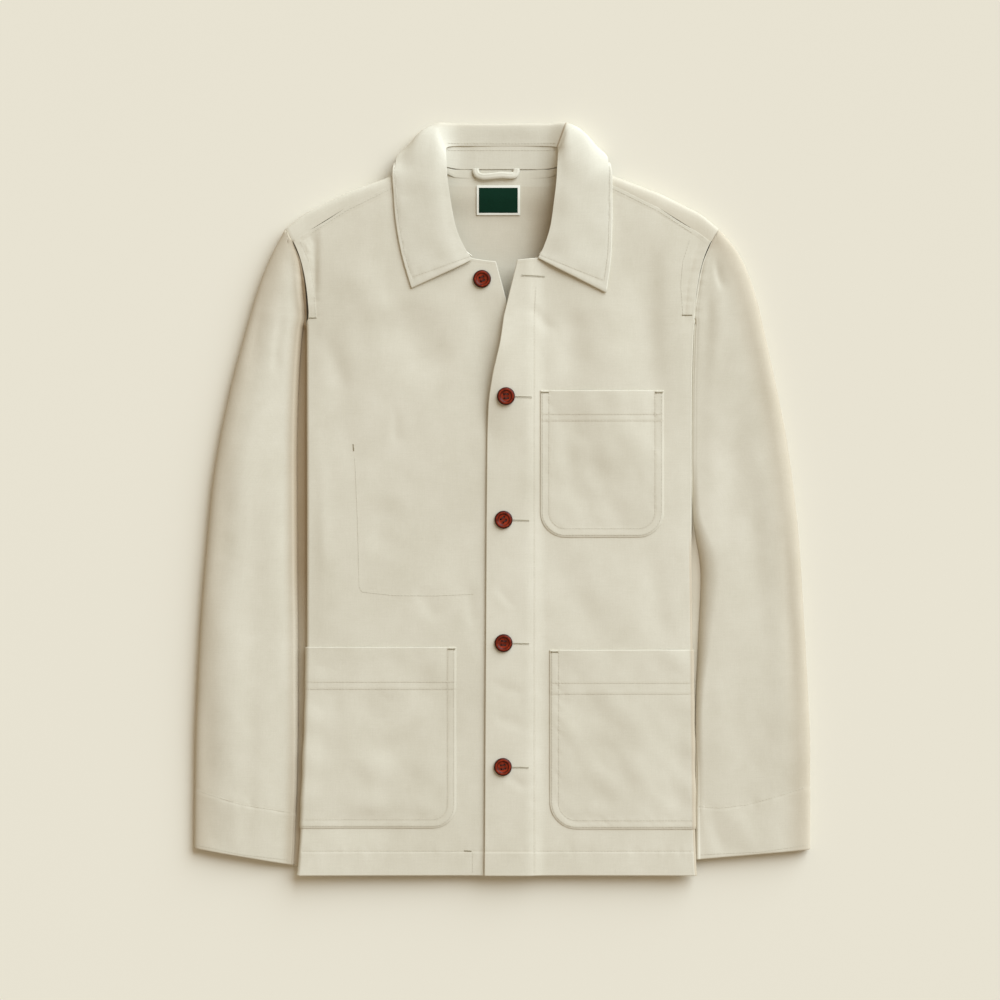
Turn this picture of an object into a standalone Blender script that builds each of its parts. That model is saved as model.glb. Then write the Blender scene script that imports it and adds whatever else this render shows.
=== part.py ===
"""Chore jacket, laid flat on its back: real size, metres, +Z up, collar towards +Y.

The origin is the middle of the jacket's footprint, on the surface it lies on. Sizes are
named in millimetres and turned to metres when a mesh is made. "Right" and "left" are the
wearer's: the right front has the buttons and lies at -X, the left front laps over it.
Tables give x outwards from the middle of the body, and each side turns it to its own X.

Each cloth piece is an open surface lofted through sections, with Solidify as its wall.
The sides of the body are tucked in like the side of a paper bag, and the sleeves lie in
the tucks, so that the fronts overhang them.
"""

import math

import bmesh
import bpy
import numpy as np

MM = 0.001
RIGHT, LEFT = -1, 1
SIDE_NAME = {RIGHT: "right", LEFT: "left"}

# Cloth
CLOTH = 1.3            # wall of a single canvas layer
COLLAR_CLOTH = 1.8     # wall of the two-layer collar
GAP = 0.4              # space between neighbouring pieces

# Body, in plan
HEM_Y = -391.2
BACK_HEM_Y = -388.0
BAR_TACK_Y = 190.0     # lower end of the armhole seam's visible part
CURL_LENGTH = 14.0     # length over which the side fold forms below the bar tack
ARMPIT_Y = 32.0
TUCK = 52.0            # cloth tucked in at each side, up to the side seam
BACK_INSET = 5.0       # how far the back's fold lies inside the front's
FRONT_TURN_STEPS = 5   # steps of the half turn at each side fold
BACK_TURN_STEPS = 4
FRONT_TUCK_PARTS = (0.3, 0.66, 0.83, 1.0)  # places along the tucked cloth, as parts of its width
BACK_TUCK_PARTS = (0.5, 1.0)

# Heights of the cloth's inner faces
FRONT_FOLD_R = 1.9
BACK_FOLD_R = 0.55
FRONT_SIDE_Z = 13.3
CROWN_HALF = 205.0     # half width of the crown that the fronts make, and its power
CROWN_POWER = 4
SEAM_DROP = 4.05       # fall of the tucked front down to the side seam
SEAM_DROP_WIDTH = 18.0
SEAM_DROP_Y = (10.0, -30.0)  # Y where the fall starts and where it is whole
NECK_LIFT = 2.8        # rise of the back over the collar that lies under it
NECK_LIFT_Y = (290.0, 320.0)
NECK_LIFT_X = (135.0, 113.0)
LAP_STEP = 2.5         # height of the upper front over the lower one
LAP_STEP_X = (46.0, 24.0)
SLEEVE_TOP_Z = 6.4     # sleeve's upper layer in the tuck
SLEEVE_BOTTOM_Z = 5.4  # sleeve's lower layer in the tuck
BESIDE_FOLD_RISE = 2.4  # how much higher and lower the two layers lie beside a forming fold
BESIDE_FOLD_FALL = 2.6
TACK_CLEARANCE = 1.2   # extra space between back and sleeve where the back's fold begins
SHOULDER_X = 79.0      # x where the neckline meets the shoulder seam

# Outermost x of the side fold at each Y
SIDE_FOLD = {
    "y":   (-392.0, -385.0, -321.0, -225.0, -151.0, -34.0, 100.0, 176.0, 190.0),
    RIGHT: (214.4, 213.2, 209.0, 205.0, 203.6, 203.4, 203.6, 203.6, 204.2),
    LEFT:  (203.6, 202.8, 200.8, 199.6, 198.6, 197.4, 197.6, 199.6, 201.8),
}

# Front edge of each front up to the bar tack's level
FRONT_EDGE = {
    "y":   (-392.0, -150.0, 60.0, 98.0, 128.0, 166.0, 190.0),
    RIGHT: (-19.0, -19.0, -18.6, -18.4, -17.4, -12.6, -8.6),
    LEFT:  (-17.7, -16.4, -15.0, -13.6, -9.5, -1.2, 2.2),
}

# Columns of each front: x on the body and x along the neckline and shoulder seam.
# The first body value stands for the front edge and the last for the side fold.
FRONT_COLUMNS = {
    RIGHT: {
        "body": (0.0, -6.0, 12.0, 27.0, 38.0, 48.0, 62.0, 78.0, 103.0, 129.0, 155.0, 179.0, 0.0),
        "top":  (6.9, 19.0, 31.0, 42.0, 52.0, 62.0, 71.0, 79.0, 106.0, 135.0, 162.0, 188.0, 213.0),
    },
    LEFT: {
        "body": (0.0, 10.0, 25.0, 40.0, 50.0, 62.0, 78.0, 100.0, 123.0, 146.0, 168.0, 184.0, 0.0),
        "top":  (16.4, 28.0, 39.0, 49.0, 60.0, 70.0, 79.0, 103.0, 128.0, 153.0, 175.0, 194.0, 213.0),
    },
}
FRONT_ROWS = {
    RIGHT: (HEM_Y, -366.0, -342.0, -295.0, -245.0, -195.0, -154.0, -115.0, -75.0, -35.0, 5.0,
            35.0, 75.0, 113.0, 150.0, 176.0, 183.0, BAR_TACK_Y),
    LEFT: (HEM_Y, -367.0, -343.0, -297.0, -250.0, -204.0, -157.0, -120.0, -80.0, -39.0, -1.0,
           37.0, 75.0, 113.0, 150.0, 176.0, 183.0, BAR_TACK_Y),
}
YOKE_ROWS = 7

# Neckline, then shoulder seam: Y of the fronts' upper edge at each x
NECK_AND_SHOULDER = {
    "x":   (6.9, 16.4, 31.0, 38.0, 48.0, 61.0, 72.0, 79.0, 117.0, 162.0, 200.0, 213.0),
    RIGHT: (247.0, 248.0, 250.2, 251.4, 260.0, 281.0, 310.0, 341.0, 325.5, 303.5, 278.5, 267.5),
    LEFT:  (247.4, 248.6, 250.2, 251.0, 259.0, 280.0, 310.0, 341.0, 325.5, 303.5, 278.5, 267.5),
}

# Back, from the middle out: x on the body, then the lines where it leaves the surface,
# turns over at the outline, and ends at the neck or the shoulder seam
BACK_COLUMNS = {
    "body":      (0.0, 27.0, 50.0, 64.0, 76.0, 90.0, 122.0, 158.0, 182.0, 194.2),
    "leave_x":   (0.0, 27.0, 49.0, 62.0, 73.0, 84.0, 121.0, 163.0, 203.0, 217.6),
    "leave_y":   (326.0, 326.0, 326.0, 329.0, 334.0, 338.0, 325.0, 308.0, 287.5, 273.4),
    "outline_x": (0.0, 27.0, 49.5, 63.0, 75.0, 84.0, 123.6, 165.5, 207.3, 225.0),
    "outline_y": (335.0, 335.0, 336.0, 342.0, 347.0, 347.8, 332.6, 316.8, 296.0, 281.2),
    "end_x":     (0.0, 27.0, 49.0, 61.0, 70.5, 79.0, 117.0, 162.0, 200.0, 213.0),
    "end_y":     (344.0, 344.0, 344.6, 346.6, 346.6, 341.5, 326.0, 304.0, 279.0, 268.0),
    "mid_z":     (4.1, 4.1, 4.2, 5.4, 7.6, 8.6, 8.6, 8.6, 8.6, 8.6),
    "end_z":     (4.1, 4.1, 4.6, 8.2, 13.2, 16.4, 16.4, 15.9, 15.0, 14.4),
}
BACK_ROWS = (BACK_HEM_Y, -320.0, -230.0, -140.0, -50.0, 5.0, ARMPIT_Y, 75.0, 113.0, 150.0,
             176.0, 183.0, BAR_TACK_Y)
BACK_YOKE_STEPS = (0.35, 0.65, 0.79, 0.88, 1.0)
WRAP_STEPS = 3         # steps of each quarter turn over the shoulder

# Height of the fronts' inner face down the middle of each half
FRONT_HEIGHT = {
    "y": (-391.0, -340.0, -200.0, 0.0, 150.0, 250.0, 340.0),
    "z": (11.4, 12.6, 14.4, 15.8, 17.2, 17.5, 16.6),
}

# Largest troughs (depth > 0) of the fronts: ends in plan, half width and depth
FOLDS = {
    "start_x": (-191.0, -186.0, 78.0, 88.0, 163.0, 56.0, 66.0),
    "start_y": (287.0, 180.0, 200.0, 60.0, 290.0, -52.0, -180.0),
    "end_x":   (-191.0, -160.0, 78.0, 120.0, 163.0, 120.0, 146.0),
    "end_y":   (215.0, 100.0, 125.0, -25.0, 130.0, -148.0, -282.0),
    "width":   (9.0, 18.0, 16.0, 14.0, 16.0, 18.0, 20.0),
    "depth":   (1.6, 1.2, 1.3, 1.0, 2.0, 2.0, 1.3),
}
FOLD_SPREAD = 0.6      # distance over which a trough fades sideways, as a part of its width

# Sleeves, a column for each section from the cuff to the shoulder: its outer end, its inner
# end, the x where it rises out of the tuck, and its height. The first inner end is the cuff's,
# which each side has its own Y for.
SLEEVE = {
    "inner_y": (None, -295.0, -235.0, -160.0, -90.0, -20.0, 32.0, 75.0, 113.0, 150.0,
                176.0, 183.0, 190.0, 215.5, 244.0, 267.2),
    "inner_x": (189.0, 186.0, 184.0, 182.0, 180.0, 171.0, 149.0),
    "rise":    (14.0, 16.0, 20.0, 22.0, 22.0, 20.0, 20.0, 20.0, 20.0, 18.0, 16.0, 14.0, 12.0,
                10.0, 7.0, 2.0),
    "height":  (9.5, 12.5, 14.0, 14.5, 15.0, 15.0, 14.5, 14.5, 14.5, 14.5, 14.5, 14.5, 14.3,
                14.0, 13.7, 13.3),
    "edge_z":  (4.6, 4.6, 4.6, 4.6, 4.6, 4.6, 4.6, 4.6, 4.6, 4.6, 4.8, 5.0, 5.2, 6.2, 7.4, 8.6),
    RIGHT: {
        "cuff_y":  -386.0,
        "outer_x": (321.6, 320.6, 318.2, 314.0, 308.0, 302.5, 296.0, 289.0, 280.0, 272.0,
                    265.0, 262.0, 259.5, 250.5, 240.0, 226.6),
        "outer_y": (-363.5, -257.0, -193.0, -115.0, -42.0, 16.0, 58.0, 93.0, 132.0, 161.0,
                    186.0, 196.0, 205.0, 232.0, 256.0, 280.9),
        "dip_x":   (214.0, 216.0, 217.0, 218.0, 219.0, 219.0, 219.0, 219.0, 218.0, 214.0,
                    211.0, 209.5, 205.0, 208.0, 211.0, 214.0),
    },
    LEFT: {
        "cuff_y":  -376.0,
        "outer_x": (321.6, 321.8, 319.3, 315.0, 310.0, 303.0, 297.5, 291.0, 284.5, 277.0,
                    270.0, 268.0, 265.5, 257.0, 245.0, 226.6),
        "outer_y": (-364.5, -260.5, -198.0, -120.0, -42.0, 22.0, 61.0, 95.0, 127.0, 161.0,
                    192.0, 201.0, 210.0, 235.0, 259.0, 280.9),
        "dip_x":   (206.0, 205.0, 209.0, 215.0, 219.0, 221.0, 220.0, 213.0, 209.0, 208.0,
                    206.0, 205.0, 203.0, 206.0, 209.5, 214.0),
    },
}
OUTER_ROUND = 18.0     # width over which a sleeve's upper layer rounds to its outer fold
UNDER_ROUND = 7.0
INNER_ROUND = 0.6
LIP_PAST_FOLD = 1.0    # how far outside the body's folds the two layers leave their level
STEP_PAST_FOLD = 1.2
LOWER_FLAT = 12.0      # width over which the lower layer comes down to the surface
QUARTER_TURN = (30.0, 60.0, 90.0)
RISE_PARTS = (0.35, 0.7, 1.0)
# The same widths as parts of a narrow section, which hold near the shoulder
LIP_PART, DIP_PART, CROWN_PART, STEP_PART, FLAT_PART, GROUND_PART = 0.06, 0.05, 0.4, 0.06, 0.15, 0.25

# Collar, from the front end (column 0) to the middle of the back: the neck seam, then five
# lines across the leaf from the roll to the outer edge
COLLAR = {
    "neck":  ((39.5, 253.6, 19.0), (47.6, 261.0, 18.4), (60.6, 283.0, 17.9), (70.6, 310.0, 17.5),
              (75.7, 331.0, 17.3), (75.6, 342.2, 16.6), (68.3, 347.9, 12.6), (60.4, 347.4, 8.2),
              (48.8, 345.5, 4.4), (25.0, 344.9, 3.5), (0.0, 344.9, 3.5)),
    "stand": ((38.6, 255.0, 20.4), (44.5, 262.0, 20.4), (52.0, 283.0, 20.4), (56.0, 310.0, 20.4),
              (58.4, 332.0, 20.0), (59.0, 347.0, 18.4), (59.2, 359.0, 15.0), (58.6, 367.2, 10.0),
              (49.0, 369.6, 5.9), (25.0, 370.0, 5.1), (0.0, 370.0, 4.9)),
    "leaf_0": ((37.6, 251.2, 22.2), (43.0, 262.0, 22.3), (50.0, 283.0, 22.4), (54.0, 310.0, 22.4),
               (56.6, 333.0, 22.0), (57.4, 347.6, 20.8), (57.8, 359.0, 17.8), (57.4, 366.6, 13.0),
               (48.4, 368.8, 8.0), (25.0, 369.1, 6.8), (0.0, 369.1, 6.6)),
    "leaf_1": ((55.0, 242.4, 22.1), (62.0, 258.0, 22.3), (67.0, 283.5, 22.4), (70.0, 311.5, 22.4),
               (72.5, 337.0, 22.2), (73.2, 356.0, 21.2), (70.8, 375.0, 18.6), (66.2, 388.0, 13.2),
               (50.0, 388.8, 7.6), (25.0, 388.8, 6.9), (0.0, 388.8, 6.7)),
    "leaf_2": ((73.0, 233.4, 21.3), (80.0, 254.5, 21.5), (84.0, 284.0, 21.7), (87.0, 313.0, 21.6),
               (89.0, 340.0, 21.2), (91.0, 361.0, 18.8), (85.2, 380.6, 14.0), (69.0, 391.5, 8.4),
               (50.0, 391.8, 4.9), (25.0, 391.6, 4.4), (0.0, 391.5, 4.3)),
    "leaf_3": ((91.0, 224.4, 20.5), (97.0, 252.0, 20.6), (100.0, 284.5, 20.7), (102.0, 314.0, 20.4),
               (104.0, 342.0, 19.2), (105.0, 359.4, 12.2), (94.5, 371.6, 4.2), (74.0, 383.4, 1.8),
               (48.0, 386.4, 1.5), (25.0, 386.6, 1.4), (0.0, 386.6, 1.4)),
    "leaf_4": ((107.8, 215.8, 19.6), (112.4, 250.0, 19.6), (113.7, 285.0, 19.5), (113.8, 315.0, 19.0),
               (113.2, 343.0, 17.8), (110.0, 352.0, 10.5), (98.0, 350.0, 2.2), (74.0, 342.0, 0.95),
               (49.0, 334.0, 0.95), (25.0, 331.0, 0.95), (0.0, 330.5, 0.95)),
}
# How far the right half differs: shift of the roll's and the tip's end, and its fading
RIGHT_ROLL_SHIFT = (-7.0, -1.7)
RIGHT_TIP_SHIFT = (-14.0, 4.7)
RIGHT_FADE = (1.0, 0.65, 0.3, 0.12, 0.0, 0.0, 0.0, 0.0, 0.0, 0.0, 0.0)
COLLAR_ROW_STEPS = 2   # rows for each station of the tables
LEAF_COLUMN_STEPS = 2

# Patch pockets on the fronts: columns and rows of the panel that each covers
CHEST_POCKET = {"side": LEFT, "columns": (3, 10), "rows": (9, 13), "corner": 26.0}
LOWER_POCKETS = {
    RIGHT: {"side": RIGHT, "columns": (5, 12), "rows": (2, 6), "corner": 24.0},
    LEFT: {"side": LEFT, "columns": (4, 12), "rows": (2, 6), "corner": 28.0},
}
POCKET_CLOTH = 1.3
POCKET_CURL_POINTS = 3  # points of the side fold that a lower pocket follows
POCKET_CORNER_TURNS = (35.0, 62.0)  # where its rounded corners have rows, in degrees from below

# Neck label and hang loop, on the inside of the back
LABEL = {"x": (-26.3, 18.5), "y": (297.5, 327.7), "columns": 4, "thick": 0.7}
LOOP = {"x": (-32.0, 15.6), "y": 339.2, "width": 9.6, "rise": 3.0, "power": 0.8, "columns": 9, "thick": 1.1}

# Buttons: X and Y of each, from the neck down
BUTTON_PLACES = ((-20.8, 229.3), (4.1, 107.2), (1.6, -21.0), (1.6, -149.2), (0.9, -278.1))
BUTTON_DIAMETER = 18.7
BUTTON_PROFILE = (     # radius and height, from the dished middle over the rim to the underside
    (0.0, 2.4), (6.75, 2.4), (7.8, 3.2), (8.8, 3.2), (9.35, 2.1), (8.55, 0.0), (0.0, 0.0))
BUTTON_SIDES = 20
BUTTON_HOLE = 2.0
BUTTON_HOLE_SIDES = 8
BUTTON_HOLE_SPACING = 4.2
DRILL_LENGTH = 12.0

MERGE_DISTANCE = 0.02  # points closer than this become one


# ---------------------------------------------------------------- shapes

def smooth(value):
    """Go from 0 to 1 with level ends."""
    t = np.clip(value, 0.0, 1.0)
    return t * t * (3.0 - 2.0 * t)


def ramp(value, start, stop):
    """Go from 0 at start to 1 at stop with level ends."""
    return smooth((value - start) / (stop - start))


def padded(values, count):
    """Values with the last one repeated up to a count."""
    return np.append(values, np.full(count - len(values), values[-1]))


def fold_x(side, y):
    """Outermost x of the front's side fold."""
    return np.interp(y, SIDE_FOLD["y"], SIDE_FOLD[side])


def curl(y):
    """Part of the half turn that the side folds make at this Y."""
    return smooth((BAR_TACK_Y - y) / CURL_LENGTH)


def seam_x(side, y):
    """x of the tucked seam: the armhole above the armpit, the side seam below it."""
    start = BAR_TACK_Y - CURL_LENGTH
    t = np.clip((start - y) / (start - ARMPIT_Y), 0.0, 1.0)
    return fold_x(side, y) - CLOTH - FRONT_FOLD_R - TUCK * t * t


def front_z(x, y):
    """Inner face of the fronts at world x and y, in millimetres."""
    middle = np.interp(y, FRONT_HEIGHT["y"], FRONT_HEIGHT["z"])
    crown = 1.0 - np.clip(np.abs(x) / CROWN_HALF, 0.0, 1.0) ** CROWN_POWER
    z = FRONT_SIDE_Z + (middle - FRONT_SIDE_Z) * crown
    for x0, y0, x1, y1, width, depth in zip(*FOLDS.values()):
        length = math.hypot(x1 - x0, y1 - y0)
        along = ((x - x0) * (x1 - x0) + (y - y0) * (y1 - y0)) / length
        across = ((x - x0) * (y1 - y0) - (y - y0) * (x1 - x0)) / length
        ends = smooth(along / width) * smooth((length - along) / width)
        z = z - depth * ends * np.exp(-(across / (FOLD_SPREAD * width)) ** 2)
    return z


def left_front_z(x, y):
    """Inner face of the upper front, which steps over the lower one near the middle."""
    return front_z(x, y) + LAP_STEP * ramp(x, *LAP_STEP_X)


def back_z(x, y):
    """Inner face of the back where it lies on the surface or on the collar."""
    return CLOTH + NECK_LIFT * ramp(y, *NECK_LIFT_Y) * ramp(np.abs(x), *NECK_LIFT_X)


def turn(centre_x, centre_z, radius, angle, steps, downwards):
    """Points of a fold that turns by angle from pointing outwards, without its start."""
    angles = angle * np.arange(1, steps + 1) / steps
    side = 1.0 if downwards else -1.0
    return centre_x + radius * np.sin(angles), centre_z + side * radius * np.cos(angles)


# ---------------------------------------------------------------- meshes

def material(name, color, roughness, metallic=0.0):
    """Plain finish of one piece."""
    finish = bpy.data.materials.new(name)
    finish.use_nodes = True
    shader = finish.node_tree.nodes["Principled BSDF"]
    shader.inputs["Base Color"].default_value = (*color, 1.0)
    shader.inputs["Roughness"].default_value = roughness
    shader.inputs["Metallic"].default_value = metallic
    return finish


def add_object(name, mesh, finish):
    """Put a mesh into the jacket's collection with its own finish."""
    obj = bpy.data.objects.new(name, mesh)
    mesh.materials.append(material(name + "_finish", *finish))
    mesh.shade_smooth()
    JACKET.objects.link(obj)
    return obj


def lofted(name, grid, wall, finish, offset=1.0):
    """Make a cloth piece: a grid of points (rows, columns, xyz) in mm, walled by Solidify.

    Neighbouring points that coincide are merged, so a row may shrink to a point.
    """
    rows, columns = grid.shape[:2]
    mesh = bpy.data.meshes.new(name)
    index = np.arange(rows * columns).reshape(rows, columns)
    quads = np.stack([index[:-1, :-1], index[:-1, 1:], index[1:, 1:], index[1:, :-1]], axis=-1)
    mesh.from_pydata((grid.reshape(-1, 3) * MM).tolist(), [], quads.reshape(-1, 4).tolist())
    shell = bmesh.new()
    shell.from_mesh(mesh)
    bmesh.ops.remove_doubles(shell, verts=shell.verts, dist=MERGE_DISTANCE * MM)
    shell.to_mesh(mesh)
    shell.free()
    obj = add_object(name, mesh, finish)
    solidify = obj.modifiers.new("wall", "SOLIDIFY")
    solidify.thickness = wall * MM
    solidify.offset = offset
    solidify.use_rim = True
    return obj


# ---------------------------------------------------------------- body

def front_grid(side):
    """Inner face of one front: hem to shoulder, front edge to the tucked seam."""
    columns = FRONT_COLUMNS[side]
    height = left_front_z if side == LEFT else front_z
    rows = []
    for y in FRONT_ROWS[side]:
        start = fold_x(side, y) - CLOTH - FRONT_FOLD_R
        x = np.array(columns["body"])
        x[0] = np.interp(y, FRONT_EDGE["y"], FRONT_EDGE[side])
        x[-1] = start
        z = height(side * x, y)
        turned = turn(start, z[-1] - FRONT_FOLD_R, FRONT_FOLD_R, math.pi * curl(y), FRONT_TURN_STEPS, True)
        run = (turned[0][-1] - seam_x(side, y)) if curl(y) >= 1.0 else 0.0
        back = run * np.array(FRONT_TUCK_PARTS)
        below = SEAM_DROP * ramp(y, *SEAM_DROP_Y) * ramp(run - back, SEAM_DROP_WIDTH, 0.0)
        x = np.concatenate([x, turned[0], turned[0][-1] - back])
        z = np.concatenate([z, turned[1], turned[1][-1] - below])
        rows.append(np.stack([side * x, np.full_like(x, y), z], axis=-1))
    body_row = rows[-1]
    top_x = padded(columns["top"], len(body_row))
    top_y = np.interp(top_x, NECK_AND_SHOULDER["x"], NECK_AND_SHOULDER[side])
    for step in range(1, YOKE_ROWS + 1):
        t = step / YOKE_ROWS
        x = body_row[:, 0] + (side * top_x - body_row[:, 0]) * t
        y = body_row[:, 1] + (top_y - body_row[:, 1]) * t
        rows.append(np.stack([x, y, height(x, y)], axis=-1))
    return np.array(rows)


def back_half(side):
    """Inner face of half of the back, from the middle out and up into the tuck."""
    columns = {name: np.array(values) for name, values in BACK_COLUMNS.items()}
    rows = []
    for y in BACK_ROWS:
        start = fold_x(side, y) - BACK_INSET - CLOTH - BACK_FOLD_R
        x = columns["body"].copy()
        x[-1] = start
        z = back_z(x, y)
        turned = turn(start, CLOTH + BACK_FOLD_R, BACK_FOLD_R, math.pi * curl(y), BACK_TURN_STEPS, False)
        run = (turned[0][-1] - seam_x(side, y)) if curl(y) >= 1.0 else 0.0
        back = run * np.array(BACK_TUCK_PARTS)
        x = np.concatenate([x, turned[0], turned[0][-1] - back])
        z = padded(np.concatenate([z, turned[1]]), len(x))
        rows.append(np.stack([side * x, np.full_like(x, y), z], axis=-1))
    body_row = rows[-1]
    columns = {name: padded(values, len(body_row)) for name, values in columns.items()}
    leave, outline, end = (np.stack([side * columns[name + "_x"], columns[name + "_y"]], axis=-1)
                           for name in ("leave", "outline", "end"))
    for t in BACK_YOKE_STEPS:
        plan = body_row[:, :2] + (leave - body_row[:, :2]) * t
        rows.append(np.column_stack([plan, back_z(plan[:, 0], plan[:, 1])]))
    low, mid = rows[-1][:, 2], columns["mid_z"]
    high = np.where(np.abs(end[:, 0]) < SHOULDER_X, columns["end_z"], front_z(end[:, 0], end[:, 1]))
    for angle in np.linspace(0.0, math.pi / 2, WRAP_STEPS + 1)[1:]:
        plan = leave + (outline - leave) * math.sin(angle)
        rows.append(np.column_stack([plan, mid - (mid - low) * math.cos(angle)]))
    for angle in np.linspace(0.0, math.pi / 2, WRAP_STEPS + 1)[1:]:
        plan = end + (outline - end) * math.cos(angle)
        rows.append(np.column_stack([plan, mid + (high - mid) * math.sin(angle)]))
    return np.array(rows)


def make_body():
    """Back and both fronts."""
    back = np.concatenate([back_half(RIGHT)[:, :0:-1], back_half(LEFT)], axis=1)
    lofted("back", back, CLOTH, CANVAS, offset=-1.0)
    for side in (RIGHT, LEFT):
        grid = front_grid(side)
        lofted("front_" + SIDE_NAME[side], grid, CLOTH, CANVAS, offset=float(side))
    return back


# ---------------------------------------------------------------- sleeves

def inner_y(side, k):
    """Y of a sleeve section's inner end."""
    return SLEEVE[side]["cuff_y"] if k == 0 else SLEEVE["inner_y"][k]


def armhole_end(side, k):
    """Inner ends of a sleeve section: plan point and height, on the fronts and on the back."""
    y = inner_y(side, k)
    if y <= ARMPIT_Y:
        point = np.array((SLEEVE["inner_x"][k], y))
        return point, SLEEVE_TOP_Z, point, SLEEVE_BOTTOM_Z
    if y <= BAR_TACK_Y - CURL_LENGTH:
        point = np.array((seam_x(side, y), y))
        return point, SLEEVE_TOP_Z, point, SLEEVE_BOTTOM_Z
    if y < BAR_TACK_Y:
        beside = fold_x(side, y) + GAP
        upper = np.array((beside, y))
        lower = np.array((beside + TACK_CLEARANCE - BACK_INSET, y))
        return upper, SLEEVE_TOP_Z + BESIDE_FOLD_RISE, lower, SLEEVE_BOTTOM_Z - BESIDE_FOLD_FALL
    part = (y - BAR_TACK_Y) / (SLEEVE["inner_y"][-1] - BAR_TACK_Y)
    start = fold_x(side, BAR_TACK_Y) - CLOTH
    front_x = start - FRONT_FOLD_R
    back_x = start - BACK_INSET - BACK_FOLD_R
    end_x, end_y = BACK_COLUMNS["leave_x"][-1], BACK_COLUMNS["leave_y"][-1] - GAP
    shoulder_x = BACK_COLUMNS["end_x"][-1]
    upper = np.array((front_x + (shoulder_x - front_x) * part + GAP, y))
    clear = GAP + TACK_CLEARANCE * (1.0 - part) ** 4
    lower = np.array((back_x + (end_x - back_x) * part + clear,
                      BAR_TACK_Y + (end_y - BAR_TACK_Y) * part))
    return upper, float(front_z(side * (upper[0] - GAP), y)), lower, CLOTH


def sleeve_section(side, k):
    """One section of a sleeve, from the seam at its inner end round to it again."""
    y = inner_y(side, k)
    table = SLEEVE[side]
    upper, upper_z, lower, lower_z = armhole_end(side, k)
    outer = np.array((table["outer_x"][k] - CLOTH, table["outer_y"][k]))
    height, edge_z, rise = SLEEVE["height"][k], SLEEVE["edge_z"][k], SLEEVE["rise"][k]
    span = outer[0] - upper[0]
    tucked = y < BAR_TACK_Y - CURL_LENGTH
    lip = max(fold_x(side, y) + LIP_PAST_FOLD if tucked else 0.0, upper[0] + LIP_PART * span)
    dip = max(table["dip_x"][k], lip + DIP_PART * span)
    crown = outer[0] - min(OUTER_ROUND, CROWN_PART * span)
    x = np.array((upper[0], (upper[0] + lip) / 2, lip, dip, *(dip + part * rise for part in RISE_PARTS),
                  (dip + rise + crown) / 2, crown))
    z = upper_z + (height - upper_z) * ramp(x, dip, dip + rise)
    angles = np.radians(QUARTER_TURN)
    x = np.append(x, crown + (outer[0] - crown) * np.sin(angles))
    z = np.append(z, edge_z + (z[-1] - edge_z) * np.cos(angles))
    top = np.column_stack([upper + np.outer((x - upper[0]) / span, outer - upper), z])

    span = outer[0] - lower[0]
    back_fold = fold_x(side, y) - BACK_INSET
    step = max(back_fold + STEP_PAST_FOLD if tucked else 0.0, lower[0] + STEP_PART * span)
    flat = step + min(LOWER_FLAT, FLAT_PART * span)
    ground = outer[0] - min(UNDER_ROUND, GROUND_PART * span)
    x = np.append(ground + (outer[0] - ground) * np.cos(angles), ((ground + flat) / 2, flat, step, lower[0]))
    z = np.append(edge_z - (edge_z - CLOTH) * np.sin(angles), (CLOTH, CLOTH, lower_z, lower_z))
    bottom = np.column_stack([lower + np.outer((x - lower[0]) / span, outer - lower), z])

    if y < ARMPIT_Y:
        seam = np.array([[upper[0] - INNER_ROUND, y, (upper_z + lower_z) / 2]])
        ring = np.concatenate([seam, top, bottom, seam])
    else:
        ring = np.concatenate([top[:1], top, bottom, bottom[-1:]])
    ring[:, 0] *= side
    return ring


def make_sleeves():
    """Both sleeves, each a flattened tube that opens into its armhole."""
    for side in (RIGHT, LEFT):
        grid = np.array([sleeve_section(side, k) for k in range(len(SLEEVE["inner_y"]))])
        lofted("sleeve_" + SIDE_NAME[side], grid, CLOTH, CANVAS, offset=float(side))


# ---------------------------------------------------------------- collar

def refined(points, steps, axis):
    """Points with steps - 1 more on a smooth curve between each two, along an axis."""
    points = np.moveaxis(points, axis, 0)
    ends = np.concatenate([points[:1], points, points[-1:]])
    t = (np.arange(steps) / steps).reshape(-1, 1, 1)
    spans = [0.5 * (2.0 * p1 + (p2 - p0) * t + (2.0 * p0 - 5.0 * p1 + 4.0 * p2 - p3) * t ** 2
                    + (3.0 * p1 - p0 - 3.0 * p2 + p3) * t ** 3)
             for p0, p1, p2, p3 in zip(ends, ends[1:], ends[2:], ends[3:])]
    return np.moveaxis(np.concatenate([*spans, points[-1:]]), 0, axis)


def collar_lines(names, outwards):
    """Lines of the collar's tables right round the neck: stations, lines, xyz.

    Outwards says for each line how far it is on the way from the roll (0) to the tip's edge (1).
    """
    left = np.stack([np.array(COLLAR[name]) for name in names], axis=1)
    shift = np.outer(1.0 - outwards, RIGHT_ROLL_SHIFT) + np.outer(outwards, RIGHT_TIP_SHIFT)
    right = left.copy()
    right[:, :, :2] += np.array(RIGHT_FADE)[:, None, None] * shift
    right[:, :, 0] *= -1.0
    return np.concatenate([right, left[-2::-1]])


def make_collar():
    """The stand round the neck and the leaf that folds over it."""
    stand = refined(collar_lines(("neck", "stand"), np.zeros(2)), COLLAR_ROW_STEPS, 0)
    lofted("collar_stand", stand, CLOTH, CANVAS, offset=0.0)
    names = ("leaf_0", "leaf_1", "leaf_2", "leaf_3", "leaf_4")
    leaf = collar_lines(names, np.linspace(0.0, 1.0, len(names)))
    leaf = refined(refined(leaf, COLLAR_ROW_STEPS, 0), LEAF_COLUMN_STEPS, 1)
    lofted("collar_leaf", leaf, COLLAR_CLOTH, CANVAS, offset=0.0)


# ---------------------------------------------------------------- pockets

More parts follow.
